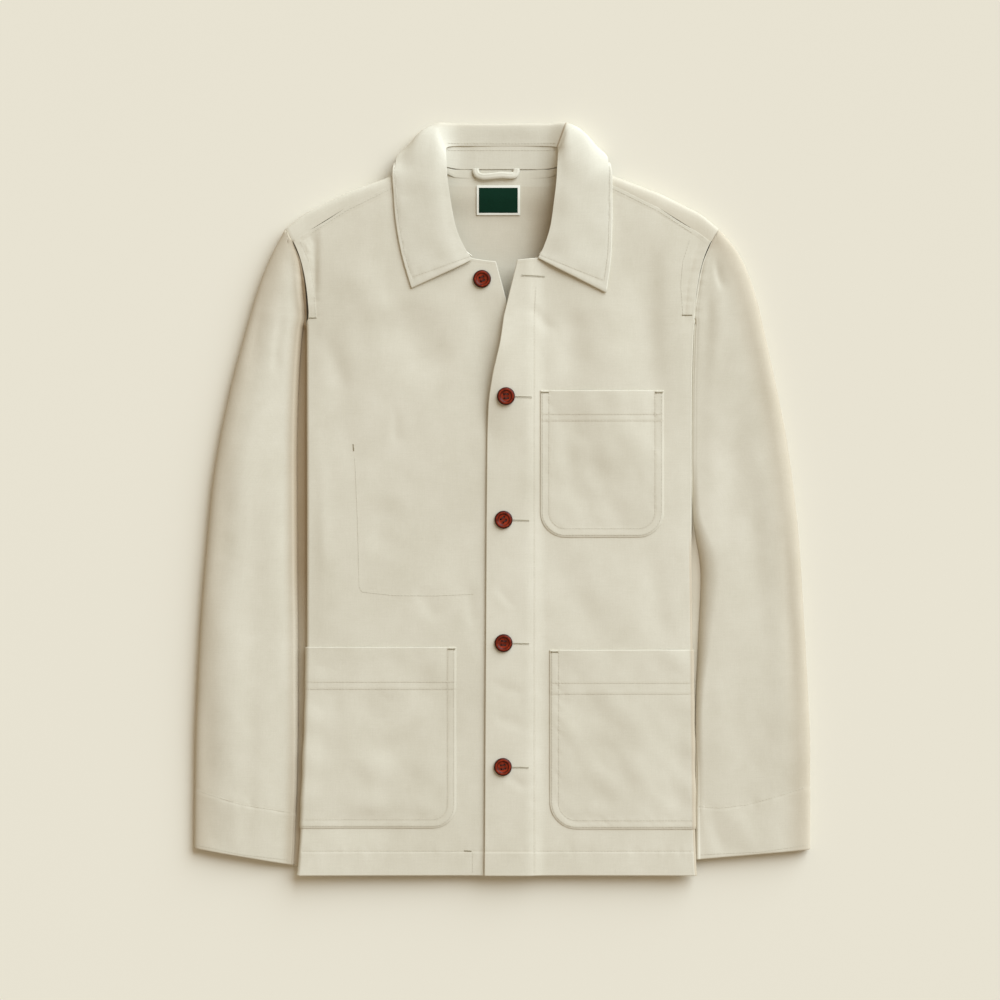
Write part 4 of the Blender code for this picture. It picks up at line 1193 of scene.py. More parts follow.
@dataclass
class Back:
    """The back: one panel on the surface, up into both tucks, and over the shoulders to the front."""

    form: BodyForm
    body: tuple[float, ...] = (0.0, 27.0, 50.0, 64.0, 76.0, 90.0, 122.0, 158.0, 182.0, 194.2)
    leave_x: tuple[float, ...] = (0.0, 27.0, 49.0, 62.0, 73.0, 84.0, 121.0, 163.0, 203.0, 217.6)
    leave_y: tuple[float, ...] = (326.0, 326.0, 326.0, 329.0, 334.0, 338.0, 325.0, 308.0, 287.5, 273.4)
    outline_x: tuple[float, ...] = (0.0, 27.0, 49.5, 63.0, 75.0, 84.0, 123.6, 165.5, 207.3, 225.0)
    outline_y: tuple[float, ...] = (335.0, 335.0, 336.0, 342.0, 347.0, 347.8, 332.6, 316.8, 296.0, 281.2)
    end_x: tuple[float, ...] = (0.0, 27.0, 49.0, 61.0, 70.5, 79.0, 117.0, 162.0, 202.5, 217.2)
    end_y: tuple[float, ...] = (344.0, 344.0, 344.6, 346.6, 346.6, 341.5, 326.0, 304.0, 279.0, 268.0)
    mid_z: tuple[float, ...] = (4.1, 4.1, 4.2, 5.4, 7.6, 8.6, 8.6, 8.6, 8.6, 8.6)
    end_z: tuple[float, ...] = (4.1, 4.1, 4.6, 8.2, 13.2, 16.4, 16.4, 15.9, 15.0, 14.4)
    creases: tuple[Crease, ...] = (
        Crease((-120.0, 250.0), (-60.0, 60.0), 16.0, 0.8, 12.0),
        Crease((140.0, 230.0), (70.0, 20.0), 14.0, 0.9, -10.0),
        Crease((-40.0, 20.0), (-90.0, -180.0), 13.0, 0.6, 8.0),
        Crease((30.0, -40.0), (96.0, -250.0), 15.0, 0.8, -9.0),
        Crease((-150.0, -120.0), (-130.0, -330.0), 12.0, 0.6, 5.0),
        Crease((150.0, -60.0), (160.0, -230.0), 11.0, 0.55, -6.0),
        Crease((-10.0, -260.0), (20.0, -370.0), 12.0, 0.5, 4.0),
        Crease((-170.0, 150.0), (-120.0, 120.0), 9.0, 0.5, 3.0),
        Crease((172.0, 120.0), (120.0, 96.0), 10.0, 0.5, -3.0))
    step: float = 5.0
    fold_steps: int = 5
    tuck_steps: int = 8
    wrap_steps: int = 10

    def half(self, side: Side) -> Array:
        """Inner face of one half, from the middle out and up into the tuck."""
        form, sign = self.form, side.value
        index = np.arange(len(self.body))
        spots = stations(0.0, self.body[-1], self.step, ((self.body[-1], 4.0, 2.0), (70.0, 12.0, 3.0)))
        column = np.interp(spots, self.body, index)
        y = stations(form.back_hem_y, form.bar_tack_y, self.step, (
            (form.back_hem_y, 3.0, 1.5), (form.back_hem_y + form.hem_fold, 2.0, 1.2),
            (form.bar_tack_y, 16.0, 1.8)))[:, None]
        start = form.fold_x(side, y) - form.back_inset - CLOTH - form.back_fold_r
        x = np.interp(column, index, self.body) + np.clip(column - index[-2], 0, 1) * (start - self.body[-1])
        y = np.broadcast_to(y, x.shape)
        calm = smooth((186.0 - np.abs(x)) / 20.0)
        z = form.back_z(x, y) + calm * lifted(self.creases, sign * x, y)
        radius = form.back_fold_r
        x, turn, _, back = form.fold_in(side, x, y[:, :1], radius, self.fold_steps, self.tuck_steps)
        extra = x.shape[1] - z.shape[1]
        arc_z = CLOTH + radius * (1.0 - np.cos(turn))
        z = np.concatenate([z, arc_z, np.broadcast_to(arc_z[:, -1:], back.shape)], axis=1)
        y = np.concatenate([y, np.repeat(y[:, -1:], extra, axis=1)], axis=1)
        points = np.stack([sign * x, y, z], axis=-1)

        def line(xs: tuple[float, ...], ys: tuple[float, ...]) -> Array:
            """Points in plan of one of the upper lines, at every column."""
            pair = np.column_stack([np.interp(column, index, xs), np.interp(column, index, ys)])
            pair = np.concatenate([pair, np.repeat(pair[-1:], extra, axis=0)])
            return pair * (sign, 1.0)

        def level(values: tuple[float, ...]) -> Array:
            """Heights of one of the upper lines, at every column."""
            found = np.interp(column, index, values)
            return np.concatenate([found, np.full(extra, found[-1])])

        leave = line(self.leave_x, self.leave_y)
        outline = line(self.outline_x, self.outline_y)
        end = line(self.end_x, self.end_y)
        t = stations(0.0, 136.0, self.step, ((136.0, 20.0, 2.6),))[1:, None, None] / 136.0
        plan = points[-1, :, :2] + (leave - points[-1, :, :2]) * t
        calm = smooth((186.0 - np.abs(plan[..., 0])) / 20.0) * smooth((300.0 - plan[..., 1]) / 20.0)
        z = form.back_z(plan[..., 0], plan[..., 1]) + calm * lifted(self.creases, plan[..., 0], plan[..., 1])
        yoke = np.concatenate([plan, z[..., None]], axis=-1)
        low, mid, high = yoke[-1, :, 2], level(self.mid_z), level(self.end_z)
        seam_z = form.front_z(end[:, 0], end[:, 1])
        high = np.where(np.abs(end[:, 0]) < form.shoulder_x, high, seam_z)
        angle = np.append(np.linspace(0.0, 90.0, self.wrap_steps - 1)[1:-1], (84.0, 89.0, 90.0))
        angle = np.radians(angle)[:, None]
        out_x, up_x = np.sin(angle), np.cos(angle)
        steep = np.sin(angle) ** 0.38
        below = np.stack([leave[:, 0] + (outline - leave)[:, 0] * out_x,
                          leave[:, 1] + (outline - leave)[:, 1] * out_x, mid - (mid - low) * up_x], axis=-1)
        above = np.stack([end[:, 0] + (outline - end)[:, 0] * up_x,
                          end[:, 1] + (outline - end)[:, 1] * up_x, mid + (high - mid) * steep], axis=-1)
        return np.concatenate([points, yoke, below, above])

    def build(self, finishes: Finishes) -> Piece:
        """Make the back from its two halves, mirrored about the middle.

        Args:
            finishes: The jacket's materials.

        Returns:
            The finished object.
        """
        right, left = self.half(Side.RIGHT), self.half(Side.LEFT)
        points = np.concatenate([right[:, :0:-1], left], axis=1)
        middle = points.shape[1] // 2
        v = points[0, middle, 1] + running(step_lengths(points[:, middle]))
        u = girth(points)
        u -= u[:, middle:middle + 1]
        grain = np.stack([u, np.broadcast_to(v[:, None], u.shape)], axis=-1)
        hem = points[..., 1] - self.form.back_hem_y - self.form.hem_fold
        lying = np.arange(len(points)) < len(points) - 2 * self.wrap_steps
        # Painted shade inside the neck under the collar, deeper on the +X side, and on the wrap over the +X
        # shoulder to dull its lit band; also darker along the hem's row of stitches.
        inside = smooth((points[..., 1] - 225.0) / 40.0) * smooth((78.0 - np.abs(points[..., 0])) / 20.0)
        beside = smooth((points[..., 0] - 20.0) / 22.0) * smooth((340.0 - points[..., 1]) / 60.0)
        shade = np.maximum(0.08 * groove(hem), (0.1 + 0.25 * beside) * inside) * lying[:, None]
        wrapped = ~lying[:, None] * smooth((points[..., 0] - 90.0) / 20.0)
        shade = np.maximum(shade, 0.12 * wrapped)
        sewn = (np.arange(len(points)) > len(points) - 3).astype(float)[:, None]
        obj = Shell(points, CLOTH, -1, grain, shade, bulge=1.0 - 0.9 * sewn).build("back")
        return dress(obj, finishes.canvas, Slot.CANVAS, "back")


# ---------------------------------------------------------------- sleeves

@dataclass(frozen=True)
class SleeveCut:
    """Sections of one sleeve, from the cuff to the shoulder, and its creases above and below."""

    outer_x: tuple[float, ...]
    outer_y: tuple[float, ...]
    dip_x: tuple[float, ...]
    rise: tuple[float, ...]
    sink: tuple[float, ...]
    seam_drop: tuple[float, ...]
    seam_gap: tuple[float, ...]
    hem_y: float
    creases: tuple[Crease, ...]
    under_creases: tuple[Crease, ...]
    cuff_line: tuple[Pair, ...]
    outer_round: float
    outer_power: float
    inner_slope: float
    lip_inset: float
    # shade, shade_top: strength of the painted shade in the valley beside the front, and the height up to which
    # it reaches; outer_fold_shade: painted shade on the outer fold, which turns from the light
    shade: float
    shade_top: float
    outer_fold_shade: float


SLEEVE_CUTS = {
    Side.RIGHT: SleeveCut(
        outer_x=(321.6, 320.6, 318.2, 314.0, 308.0, 302.5, 296.0, 289.0, 280.0, 272.0,
                 265.0, 262.0, 259.5, 250.5, 240.0, 226.6),
        outer_y=(-363.5, -257.0, -193.0, -115.0, -42.0, 16.0, 58.0, 93.0, 132.0, 161.0,
                 186.0, 196.0, 205.0, 232.0, 256.0, 280.9),
        dip_x=(218.4, 214.6, 213.8, 213.8, 214.6, 215.0, 215.2, 214.6, 213.4, 211.4,
               209.0, 207.6, 206.4, 208.6, 211.6, 214.6),
        rise=(3.0, 3.5, 4.0, 4.5, 4.5, 4.5, 4.5, 4.5, 4.5, 4.5, 4.5, 4.5, 5.0, 6.0, 6.0, 5.0),
        sink=(2.6, 3.0, 3.4, 3.4, 3.4, 3.4, 3.4, 3.4, 3.4, 3.0, 2.4, 2.0, 1.4, 1.0, 0.6, 0.3),
        seam_drop=(5.0, 3.0, 0.8, 0.1), seam_gap=(2.2, 1.0, 0.1, 0.0), hem_y=-386.0,
        creases=(
            Crease((-249.0, 232.0), (-286.0, 20.0), 9.0, -1.5, -6.0, 0.4),
            Crease((-286.0, 60.0), (-303.0, -140.0), 10.0, -1.3, -4.0, 0.4),
            Crease((-262.0, 190.0), (-284.0, -60.0), 12.0, 0.9, -6.0),
            Crease((-284.0, -30.0), (-292.0, -70.0), 3.5, -0.5, 1.0, 0.3),
            Crease((-246.0, 60.0), (-252.0, -150.0), 13.0, -0.8, 5.0),
            Crease((-274.0, -100.0), (-296.0, -300.0), 14.0, 0.8, -5.0),
            Crease((-304.0, -180.0), (-300.0, -330.0), 9.0, -0.9, 4.0, 0.3),
            Crease((-252.0, -190.0), (-262.0, -330.0), 12.0, -0.6, 6.0),
            Crease((-226.0, 204.0), (-236.0, 120.0), 6.0, -0.7, 3.0),
            Crease((-298.0, -310.0), (-300.0, -372.0), 10.0, -1.0, 2.0),
            Crease((-276.0, -300.0), (-282.0, -378.0), 9.0, 0.8, -2.0)),
        under_creases=(
            Crease((-250.0, 150.0), (-276.0, -40.0), 10.0, 0.7, 8.0),
            Crease((-262.0, -60.0), (-286.0, -240.0), 12.0, 0.8, -6.0),
            Crease((-240.0, -150.0), (-252.0, -330.0), 9.0, 0.6, 4.0)),
        cuff_line=((195.0, 790.0), (204.5, 794.0), (241.0, 805.0), (290.4, 813.5)),
        outer_round=38.0, outer_power=0.55, inner_slope=2.6, lip_inset=1.5, shade=0.62, shade_top=18.5,
        outer_fold_shade=0.26),
    Side.LEFT: SleeveCut(
        outer_x=(321.6, 321.8, 319.3, 315.0, 310.0, 303.0, 297.5, 291.0, 284.5, 277.0,
                 270.0, 268.0, 265.5, 257.0, 245.0, 226.6),
        outer_y=(-364.5, -260.5, -198.0, -120.0, -42.0, 22.0, 61.0, 95.0, 127.0, 161.0,
                 192.0, 201.0, 210.0, 235.0, 259.0, 280.9),
        dip_x=(204.4, 204.2, 202.4, 205.4, 208.2, 199.6, 199.7, 199.8, 200.0, 201.0,
               201.8, 202.6, 200.6, 205.2, 210.2, 214.6),
        rise=(7.0, 7.0, 7.0, 12.0, 18.0, 7.0, 4.5, 4.5, 4.5, 4.5, 4.5, 4.5, 4.0, 4.0, 4.0, 4.0),
        sink=(-4.0, -4.0, -2.0, 1.4, 1.6, -4.4, -6.8, -6.9, -6.9, -6.9, -6.6, -4.2, 0.3, 0.3, 0.2, 0.2),
        seam_drop=(0.3, 0.0, 0.0, 0.0), seam_gap=(0.0, 0.0, 0.0, 0.0), hem_y=-376.0,
        creases=(
            Crease((222.0, 262.0), (232.0, 214.0), 4.5, -1.0, 3.0, 0.3),
            Crease((212.0, 226.0), (200.0, 140.0), 6.0, -0.9, -4.0, 0.3),
            Crease((224.0, 232.0), (214.0, 100.0), 8.0, 0.7, -5.0),
            Crease((256.0, 150.0), (288.0, -60.0), 15.0, 0.7, 6.0),
            Crease((262.0, 60.0), (276.0, -160.0), 12.0, -0.8, 5.0),
            Crease((296.0, 20.0), (308.0, -250.0), 7.0, -0.6, 3.0, 0.3),
            Crease((240.0, 80.0), (226.0, -60.0), 14.0, -1.0, -6.0),
            Crease((284.0, -90.0), (292.0, -290.0), 12.0, 0.6, -4.0),
            Crease((240.0, -110.0), (252.0, -300.0), 13.0, -0.7, 5.0),
            Crease((212.0, -318.0), (238.0, -376.0), 9.0, -1.0, 3.0, 0.3),
            Crease((236.0, -318.0), (262.0, -374.0), 10.0, 0.7, -2.0)),
        under_creases=(
            Crease((246.0, 140.0), (280.0, -70.0), 11.0, 0.8, 7.0),
            Crease((258.0, -90.0), (284.0, -250.0), 10.0, 0.6, -5.0),
            Crease((236.0, -170.0), (262.0, -340.0), 12.0, 0.7, 4.0)),
        cuff_line=((699.0, 807.0), (720.0, 808.5), (747.0, 805.5), (777.0, 797.0), (805.0, 788.0)),
        outer_round=12.0, outer_power=0.7, inner_slope=0.6, lip_inset=0.8, shade=0.3, shade_top=13.0,
        outer_fold_shade=0.3),
}
VIEW_SCALE = 1.04              # mm for each pixel of a 1000 pixel view from above
VIEW_MIDDLE = (502.0, 499.5)   # pixel of the world's origin in that view


def from_view(points: tuple[Pair, ...]) -> Array:
    """World x and y in mm of pixels of the view from above."""
    pixels = np.asarray(points, float)
    return (pixels - VIEW_MIDDLE) * (VIEW_SCALE, -VIEW_SCALE)


@dataclass
class Sleeve:
    """One sleeve: a flattened tube that lies in the body's tuck and opens into the armhole."""

    form: BodyForm
    side: Side
    cut: SleeveCut
    inner_y: tuple[float, ...] = (-295.0, -235.0, -160.0, -90.0, -20.0, 32.0, 75.0, 113.0, 150.0,
                                  176.0, 183.0, 190.0, 215.5, 244.0, 267.2)
    inner_x: tuple[float, ...] = (189.0, 186.0, 184.0, 182.0, 180.0, 171.0, 149.0)
    height: tuple[float, ...] = (9.5, 12.5, 14.0, 14.5, 15.0, 15.0, 14.5, 14.5, 14.5, 14.5, 14.5, 14.5, 14.3,
                                 14.0, 13.7, 13.3)
    edge_z: tuple[float, ...] = (4.6, 4.6, 4.6, 4.6, 4.6, 4.6, 4.6, 4.6, 4.6, 4.6, 4.8, 5.0, 5.2, 6.2,
                                 7.4, 8.6)
    top_z: float = 6.4
    bottom_z: float = 5.4
    beside_rise: float = 2.4
    beside_fall: float = 2.6
    tack_clearance: float = 1.2
    under_round: float = 7.0
    inner_round: float = 0.6
    shoulder: Pair = (213.0, 273.0)
    wall_start: float = 14.0
    cuff_depth: float = 57.0
    lead_steps: int = 8            # columns of the upper layer from the seam to the lip
    lip_steps: int = 8             # from the lip down to the dip beside the front
    climb_steps: int = 12          # from the dip up to the crown
    crown_steps: int = 26          # across the crown
    turn_steps: int = 9            # each quarter of the outer fold
    ground_steps: int = 22         # columns of the lower layer along the surface
    rise_steps: int = 6            # up to its step
    inner_steps: int = 5           # from the step to the seam

    @property
    def levels(self) -> tuple[float, ...]:
        """Y of each section's inner end, from the cuff to the shoulder."""
        return (self.cut.hem_y, *self.inner_y)

    @property
    def foot(self) -> int:
        """Column of the upper layer where it starts to climb."""
        return 1 + self.lead_steps + self.lip_steps

    def ends(self, k: int) -> tuple[float, ...]:
        """Inner ends of section k: x, y and z of the upper layer, then of the lower one."""
        form, y = self.form, self.levels[k]
        armhole = k - len(self.levels) + len(self.cut.seam_drop)
        fold = float(form.fold_x(self.side, np.array(y)))
        if y <= form.bar_tack_y - form.curl_length:
            x = self.inner_x[k] if y <= form.armpit_y else float(form.seam_x(self.side, np.array(y)))
            return x, y, self.top_z, x, y, self.bottom_z
        if y < form.bar_tack_y:
            low = fold + GAP + self.tack_clearance - form.back_inset
            return fold + GAP, y, self.top_z + self.beside_rise, low, y, self.bottom_z - self.beside_fall
        part = (y - form.bar_tack_y) / (self.inner_y[-1] - form.bar_tack_y)
        start = float(form.fold_x(self.side, np.array(form.bar_tack_y))) - CLOTH
        front = start - float(form.fold_r(self.side, form.bar_tack_y))
        back = start - form.back_inset - form.back_fold_r
        upper = front + (self.shoulder[0] - front) * part + float(form.armhole_shift(part))
        clear = GAP + self.tack_clearance * (1.0 - part) ** 4
        lower = back + (form.back_tip_x - back) * part + clear
        z = float(form.front_z(np.array(self.side.value * upper), np.array(y))) - self.cut.seam_drop[armhole]
        upper += GAP + self.cut.seam_gap[armhole]
        return upper, y, z, lower, form.bar_tack_y + (self.shoulder[1] - form.bar_tack_y) * part, CLOTH

    def sections(self, y: Array) -> dict[str, Array]:
        """Every measure of the sections at inner ends y, from smooth curves through the tables.

        Args:
            y: Levels of the inner end, rising.

        Returns:
            Columns of values by name.
        """
        form = self.form
        rows = []
        for k, level in enumerate(self.levels):
            ux, uy, uz, lx, ly, lz = self.ends(k)
            outer = self.cut.outer_x[k] - CLOTH
            tucked = level < form.bar_tack_y - form.curl_length
            fold = float(form.fold_x(self.side, np.array(level)))
            span, low_span = outer - ux, outer - lx
            lip = max(fold - self.cut.lip_inset if tucked else 0.0, ux + 0.4)
            dip = max(self.cut.dip_x[k], lip + 1.2)
            crown = outer - min(self.cut.outer_round, 0.4 * span)
            step = max(fold - form.back_inset + 1.2 if tucked else 0.0, lx + 0.03 * low_span)
            flat = step + min(5.0, 0.1 * low_span)
            ground = outer - min(self.under_round, 0.25 * low_span)
            rows.append((ux, uy, uz, lx, ly, lz, outer, self.cut.outer_y[k], self.edge_z[k], self.height[k],
                         self.cut.rise[k], self.cut.sink[k], lip, dip, crown, step, flat, ground))
        names = ("ux", "uy", "uz", "lx", "ly", "lz", "ox", "oy", "edge", "height", "rise", "sink", "lip",
                 "dip", "crown", "step", "flat", "ground")
        found = spline(y, self.levels, np.array(rows), level=True)
        return {name: found[:, i:i + 1] for i, name in enumerate(names)}

    def flush(self, x: Array, z: Array, y: Array, sink: Array) -> Array:
        """Extra thickness that fills the raised step's corner, level with the front beside it.

        Args:
            x: Distance outwards of the upper layer's points.
            z: Their heights.
            y: Level of each section, as a column.
            sink: How far each section dips beside the front, negative where it rises.

        Returns:
            Thickness in mm, of the points' shape.
        """
        dx, dz = np.gradient(x, axis=1), np.gradient(z, axis=1)
        length = np.maximum(np.hypot(dx, dz), 1e-6)
        to_front = (x - self.form.fold_x(self.side, y) - 0.15) / np.maximum(dz / length, 1e-3)
        to_top = (z[:, self.foot - 1:self.foot] + CLOTH - z) / np.maximum(dx / length, 1e-3)
        filled = np.clip(np.minimum(to_front, to_top), CLOTH, 3.0) - CLOTH
        return filled * smooth((-sink - 4.0) / 2.0)

    def build(self, finishes: Finishes) -> Piece:
        """Make the sleeve.

        A section runs from the seam along the upper layer, which climbs out of the tuck by a smooth
        step, round the outer fold by two quarter ellipses, and back along the lower layer.

        Args:
            finishes: The jacket's materials.

        Returns:
            The finished object.
        """
        form, sign = self.form, self.side.value
        cuff = self.cut.hem_y
        y = stations(cuff, self.inner_y[-1], MESH_STEP, (
            (cuff, 5.0, 1.1), (cuff + self.cuff_depth, 14.0, 1.6), (form.bar_tack_y, 22.0, 1.7)))
        y = np.unique(np.append(y, form.armpit_y))
        s = self.sections(y)

        angle = np.linspace(0.0, math.pi / 2.0, self.turn_steps + 1)[1:]
        slope = np.radians(np.linspace(self.wall_start, 90.0, self.climb_steps + 1))[1:]
        steep = math.radians(self.wall_start)
        climb = (np.sin(slope) - math.sin(steep)) / (1.0 - math.sin(steep))
        x = np.concatenate([s["ux"], between(s["ux"], s["lip"], self.lead_steps),
                            between(s["lip"], s["dip"], self.lip_steps),
                            s["dip"] + s["rise"] * (1.0 - np.cos(slope) / math.cos(steep)),
                            between(s["dip"] + s["rise"], s["crown"], self.crown_steps)], axis=1)
        z = s["uz"] - s["sink"] * smooth((x - s["lip"]) / (s["dip"] - s["lip"]))
        z[:, self.foot:-self.crown_steps] += (s["height"] - s["uz"] + s["sink"]) * climb
        z[:, -self.crown_steps:] = s["height"]
        x_arc = s["crown"] + (s["ox"] - s["crown"]) * np.sin(angle)
        z_arc = s["edge"] + (z[:, -1:] - s["edge"]) * np.maximum(np.cos(angle), 0.0) ** self.cut.outer_power
        x, z = np.concatenate([x, x_arc], axis=1), np.concatenate([z, z_arc], axis=1)
        run = (x - s["ux"]) / (s["ox"] - s["ux"])
        top = np.stack([s["ux"] + run * (s["ox"] - s["ux"]), s["uy"] + run * (s["oy"] - s["uy"]), z], axis=-1)
        top[..., 2] -= self.cut.inner_slope * smooth(1.0 - (x - s["dip"]) / 42.0) * smooth(
            (x - s["dip"]) / 2.0) * smooth((230.0 - top[..., 1]) / 40.0)
        loose = smooth((x - s["dip"] - 4.0) / 16.0) * smooth((s["ox"] - x) / 12.0)
        loose = loose * smooth((262.0 - top[..., 1]) / 24.0)
        wx, wy = sign * top[..., 0], top[..., 1]
        ground = 0.5 * swell(wx, wy * 0.25, 52.0, 11) + 0.07 * swell(wx, wy * 0.5, 30.0, 12)
        top[..., 2] += loose * (ground + lifted(self.cut.creases, wx, wy))

        low_x = np.concatenate([s["ground"] + (s["ox"] - s["ground"]) * np.cos(angle),
                                between(s["ground"], s["flat"], self.ground_steps),
                                between(s["flat"], s["step"], self.rise_steps),
                                between(s["step"], s["lx"], self.inner_steps)], axis=1)
        low_z = np.concatenate([s["edge"] - (s["edge"] - CLOTH) * np.sin(angle),
                                np.full((len(y), self.ground_steps), CLOTH),
                                CLOTH + (s["lz"] - CLOTH) * smooth(between(0.0, 1.0, self.rise_steps)),
                                np.broadcast_to(s["lz"], (len(y), self.inner_steps))], axis=1)
        run = (low_x - s["lx"]) / (s["ox"] - s["lx"])
        bottom = np.stack([low_x, s["ly"] + run * (s["oy"] - s["ly"]), low_z], axis=-1)
        loose = smooth((low_x - s["flat"]) / 14.0) * smooth((s["ground"] - low_x) / 12.0)
        bottom[..., 2] += loose * lifted(self.cut.under_creases, sign * bottom[..., 0], bottom[..., 1])

        closed = y < form.armpit_y
        seam = np.stack([s["ux"] - self.inner_round, s["uy"], (s["uz"] + s["lz"]) / 2.0], axis=-1)
        first = np.where(closed[:, None, None], seam, top[:, :1])
        last = np.where(closed[:, None, None], seam, bottom[:, -1:])
        points = np.concatenate([first, top, bottom, last], axis=1)
        points[..., 0] *= sign

        u = girth(points)
        grain = np.stack([u, points[..., 1]], axis=-1)
        line = from_view(self.cut.cuff_line)
        order = np.argsort(line[:, 0])
        cuff_y = np.interp(points[..., 0], line[order, 0], line[order, 1])
        above = points[..., 1] - cuff_y
        thick = (CLOTH + 0.25 * smooth(-above / 1.5) - 0.1 * groove(above)
                 + 0.25 * pucker(u, 61) * smooth(1.0 - np.abs(above) / 10.0))
        name = "sleeve_" + self.side.label
        # Painted shade in the valley where the sleeve dips beside the front, and on the outer fold, which turns
        # from the light; also darker along the cuff's row of stitches.
        upper = np.zeros_like(thick)
        upper[:, 1:top.shape[1] + 1] = smooth((self.cut.shade_top - top[..., 2]) / 8.5) * smooth(
            (s["dip"] + 15.0 - x) / 17.0) * (0.6 + 0.4 * smooth((top[..., 1] + 150.0) / 90.0))
        fold = smooth(1.0 - (s["ox"] - np.abs(points[..., 0])) / 32.0)
        wear_and_shade = np.maximum.reduce([0.08 * groove(above), self.cut.shade * upper, self.cut.outer_fold_shade * fold])
        sewn = smooth((points[..., 1] - 40.0) / 10.0)
        head = smooth((points[..., 1] - 186.0) / 14.0)
        head = head * smooth(1.0 - (np.abs(points[..., 0]) - s["ux"]) / 13.0)
        thick = thick + 0.4 * head * pucker(points[..., 1], 65)
        raised = slice(1 + self.lead_steps, self.foot)
        thick[:, 1 + raised.start:1 + raised.stop] += self.flush(x, top[..., 2], y[:, None],
                                                                 s["sink"])[:, raised]
        obj = Shell(points, thick, sign, grain, wear_and_shade, int(closed.sum()), 1.0 - 0.9 * sewn).build(name)
        return dress(obj, finishes.canvas, Slot.CANVAS, name)


# ---------------------------------------------------------------- collar

@dataclass
class Collar:
    """The stand round the neck and the leaf that rolls over it and falls behind the back.

    Lines run from the front end to the middle of the back, for the left half. Points are x, y, z of
    the middle of the wall.
    """

    lines: dict[str, tuple[Place, ...]] = field(default_factory=lambda: {
        "neck": ((39.5, 253.6, 19.0), (47.6, 261.0, 18.4), (60.6, 283.0, 17.9), (70.6, 310.0, 17.5),
                  (75.7, 331.0, 17.3), (75.6, 342.2, 16.6), (68.3, 347.9, 12.6), (60.4, 347.4, 8.2),
                  (48.8, 345.5, 4.4), (25.0, 344.9, 3.5), (0.0, 344.9, 3.5)),
        "stand": ((38.6, 255.0, 20.4), (44.5, 262.0, 20.4), (52.0, 283.0, 20.4), (56.0, 310.0, 20.4),
                  (58.4, 332.0, 20.0), (59.0, 347.0, 18.4), (59.2, 359.0, 15.0), (58.6, 367.2, 10.0),
                  (49.0, 369.6, 5.9), (25.0, 370.0, 5.1), (0.0, 370.0, 4.9)),
        "leaf_0": ((37.6, 251.2, 22.2), (43.0, 262.0, 22.3), (50.0, 283.0, 22.4), (54.0, 310.0, 22.4),
                   (56.6, 333.0, 22.0), (57.4, 347.6, 20.8), (57.8, 359.0, 17.8), (57.4, 366.6, 13.0),
                   (48.4, 368.8, 8.0), (25.0, 369.1, 6.8), (0.0, 369.1, 6.6)),
        "leaf_1": ((55.0, 242.4, 22.1), (62.0, 258.0, 22.3), (67.0, 283.5, 22.4), (70.0, 311.5, 22.4),
                   (72.5, 337.0, 22.2), (73.2, 356.0, 21.2), (70.8, 375.0, 18.6), (66.2, 388.0, 13.2),
                   (50.0, 388.8, 7.6), (25.0, 388.8, 6.9), (0.0, 388.8, 6.7)),
        "leaf_2": ((73.0, 233.4, 21.3), (80.0, 254.5, 21.5), (84.0, 284.0, 21.7), (87.0, 313.0, 21.6),
                   (89.0, 340.0, 21.2), (91.0, 361.0, 18.8), (85.2, 380.6, 14.0), (69.0, 391.5, 8.4),
                   (50.0, 391.8, 4.9), (25.0, 391.6, 4.4), (0.0, 391.5, 4.3)),
        "leaf_3": ((91.0, 224.4, 20.5), (97.0, 252.0, 20.6), (100.0, 284.5, 20.7), (102.0, 314.0, 20.4),
                   (104.0, 342.0, 19.2), (105.0, 359.4, 12.2), (94.5, 371.6, 4.2), (74.0, 383.4, 1.8),
                   (48.0, 386.4, 1.5), (25.0, 386.6, 1.4), (0.0, 386.6, 1.4)),
        "leaf_4": ((107.8, 215.8, 19.6), (112.4, 250.0, 19.6), (113.7, 285.0, 19.5), (113.8, 315.0, 19.0),
                   (113.2, 343.0, 17.8), (110.0, 352.0, 10.5), (98.0, 350.0, 2.2), (74.0, 342.0, 0.95),
                   (49.0, 334.0, 0.95), (25.0, 331.0, 0.95), (0.0, 330.5, 0.95))})
    roll_shift: Pair = (-7.0, -1.7)
    tip_shift: Pair = (-14.0, 4.7)
    fade: tuple[float, ...] = (1.0, 0.65, 0.3, 0.12, 0.0, 0.0, 0.0, 0.0, 0.0, 0.0, 0.0)
    topstitch: float = 7.3
    inner_line: tuple[Pair, Pair] = ((55.6, 364.0), (67.0, 392.0))
    row_step: float = 2.3
    column_step: float = 2.0
    sharp_turn: int = 13           # station where the left end of the back's roll turns forwards

    def surface(self, names: tuple[str, ...], close: tuple[Place, ...]) -> Array:
        """Smooth grid through lines of the tables, right round the neck from the right front.

        Curves run first along the lines and then across them, with the mean distance between points
        as their parameter.

        Args:
            names: Lines, from the neck or the roll outwards.
            close: Places across the lines with a finer step.

        Returns:
            Stations x lines x 3, in mm.
        """
        left = np.stack([np.array(self.lines[name]) for name in names], axis=1)
        share = np.linspace(0.0, 1.0, len(names)) if len(names) > 2 else np.zeros(len(names))
        shift = np.outer(1.0 - share, self.roll_shift) + np.outer(share, self.tip_shift)
        right = left.copy()
        right[:, :, :2] += np.array(self.fade)[:, None, None] * shift
        right[:, :, 0] *= -1.0
        points = np.concatenate([right, left[-2::-1]])
        knots = running(step_lengths(points).mean(axis=1))
        fine = ((knots[self.sharp_turn], 7.0, 0.7),)
        points = spline(stations(0.0, knots[-1], self.row_step, fine), knots, points)
        points = np.moveaxis(points, 1, 0)
        knots = running(step_lengths(points).mean(axis=1))
        edge = ((0.0, 0.5, 0.5), *((knots[-1] - place, half, step) for place, half, step in close))
        points = spline(stations(0.0, knots[-1], self.column_step, edge), knots, points)
        return np.moveaxis(points, 0, 1)

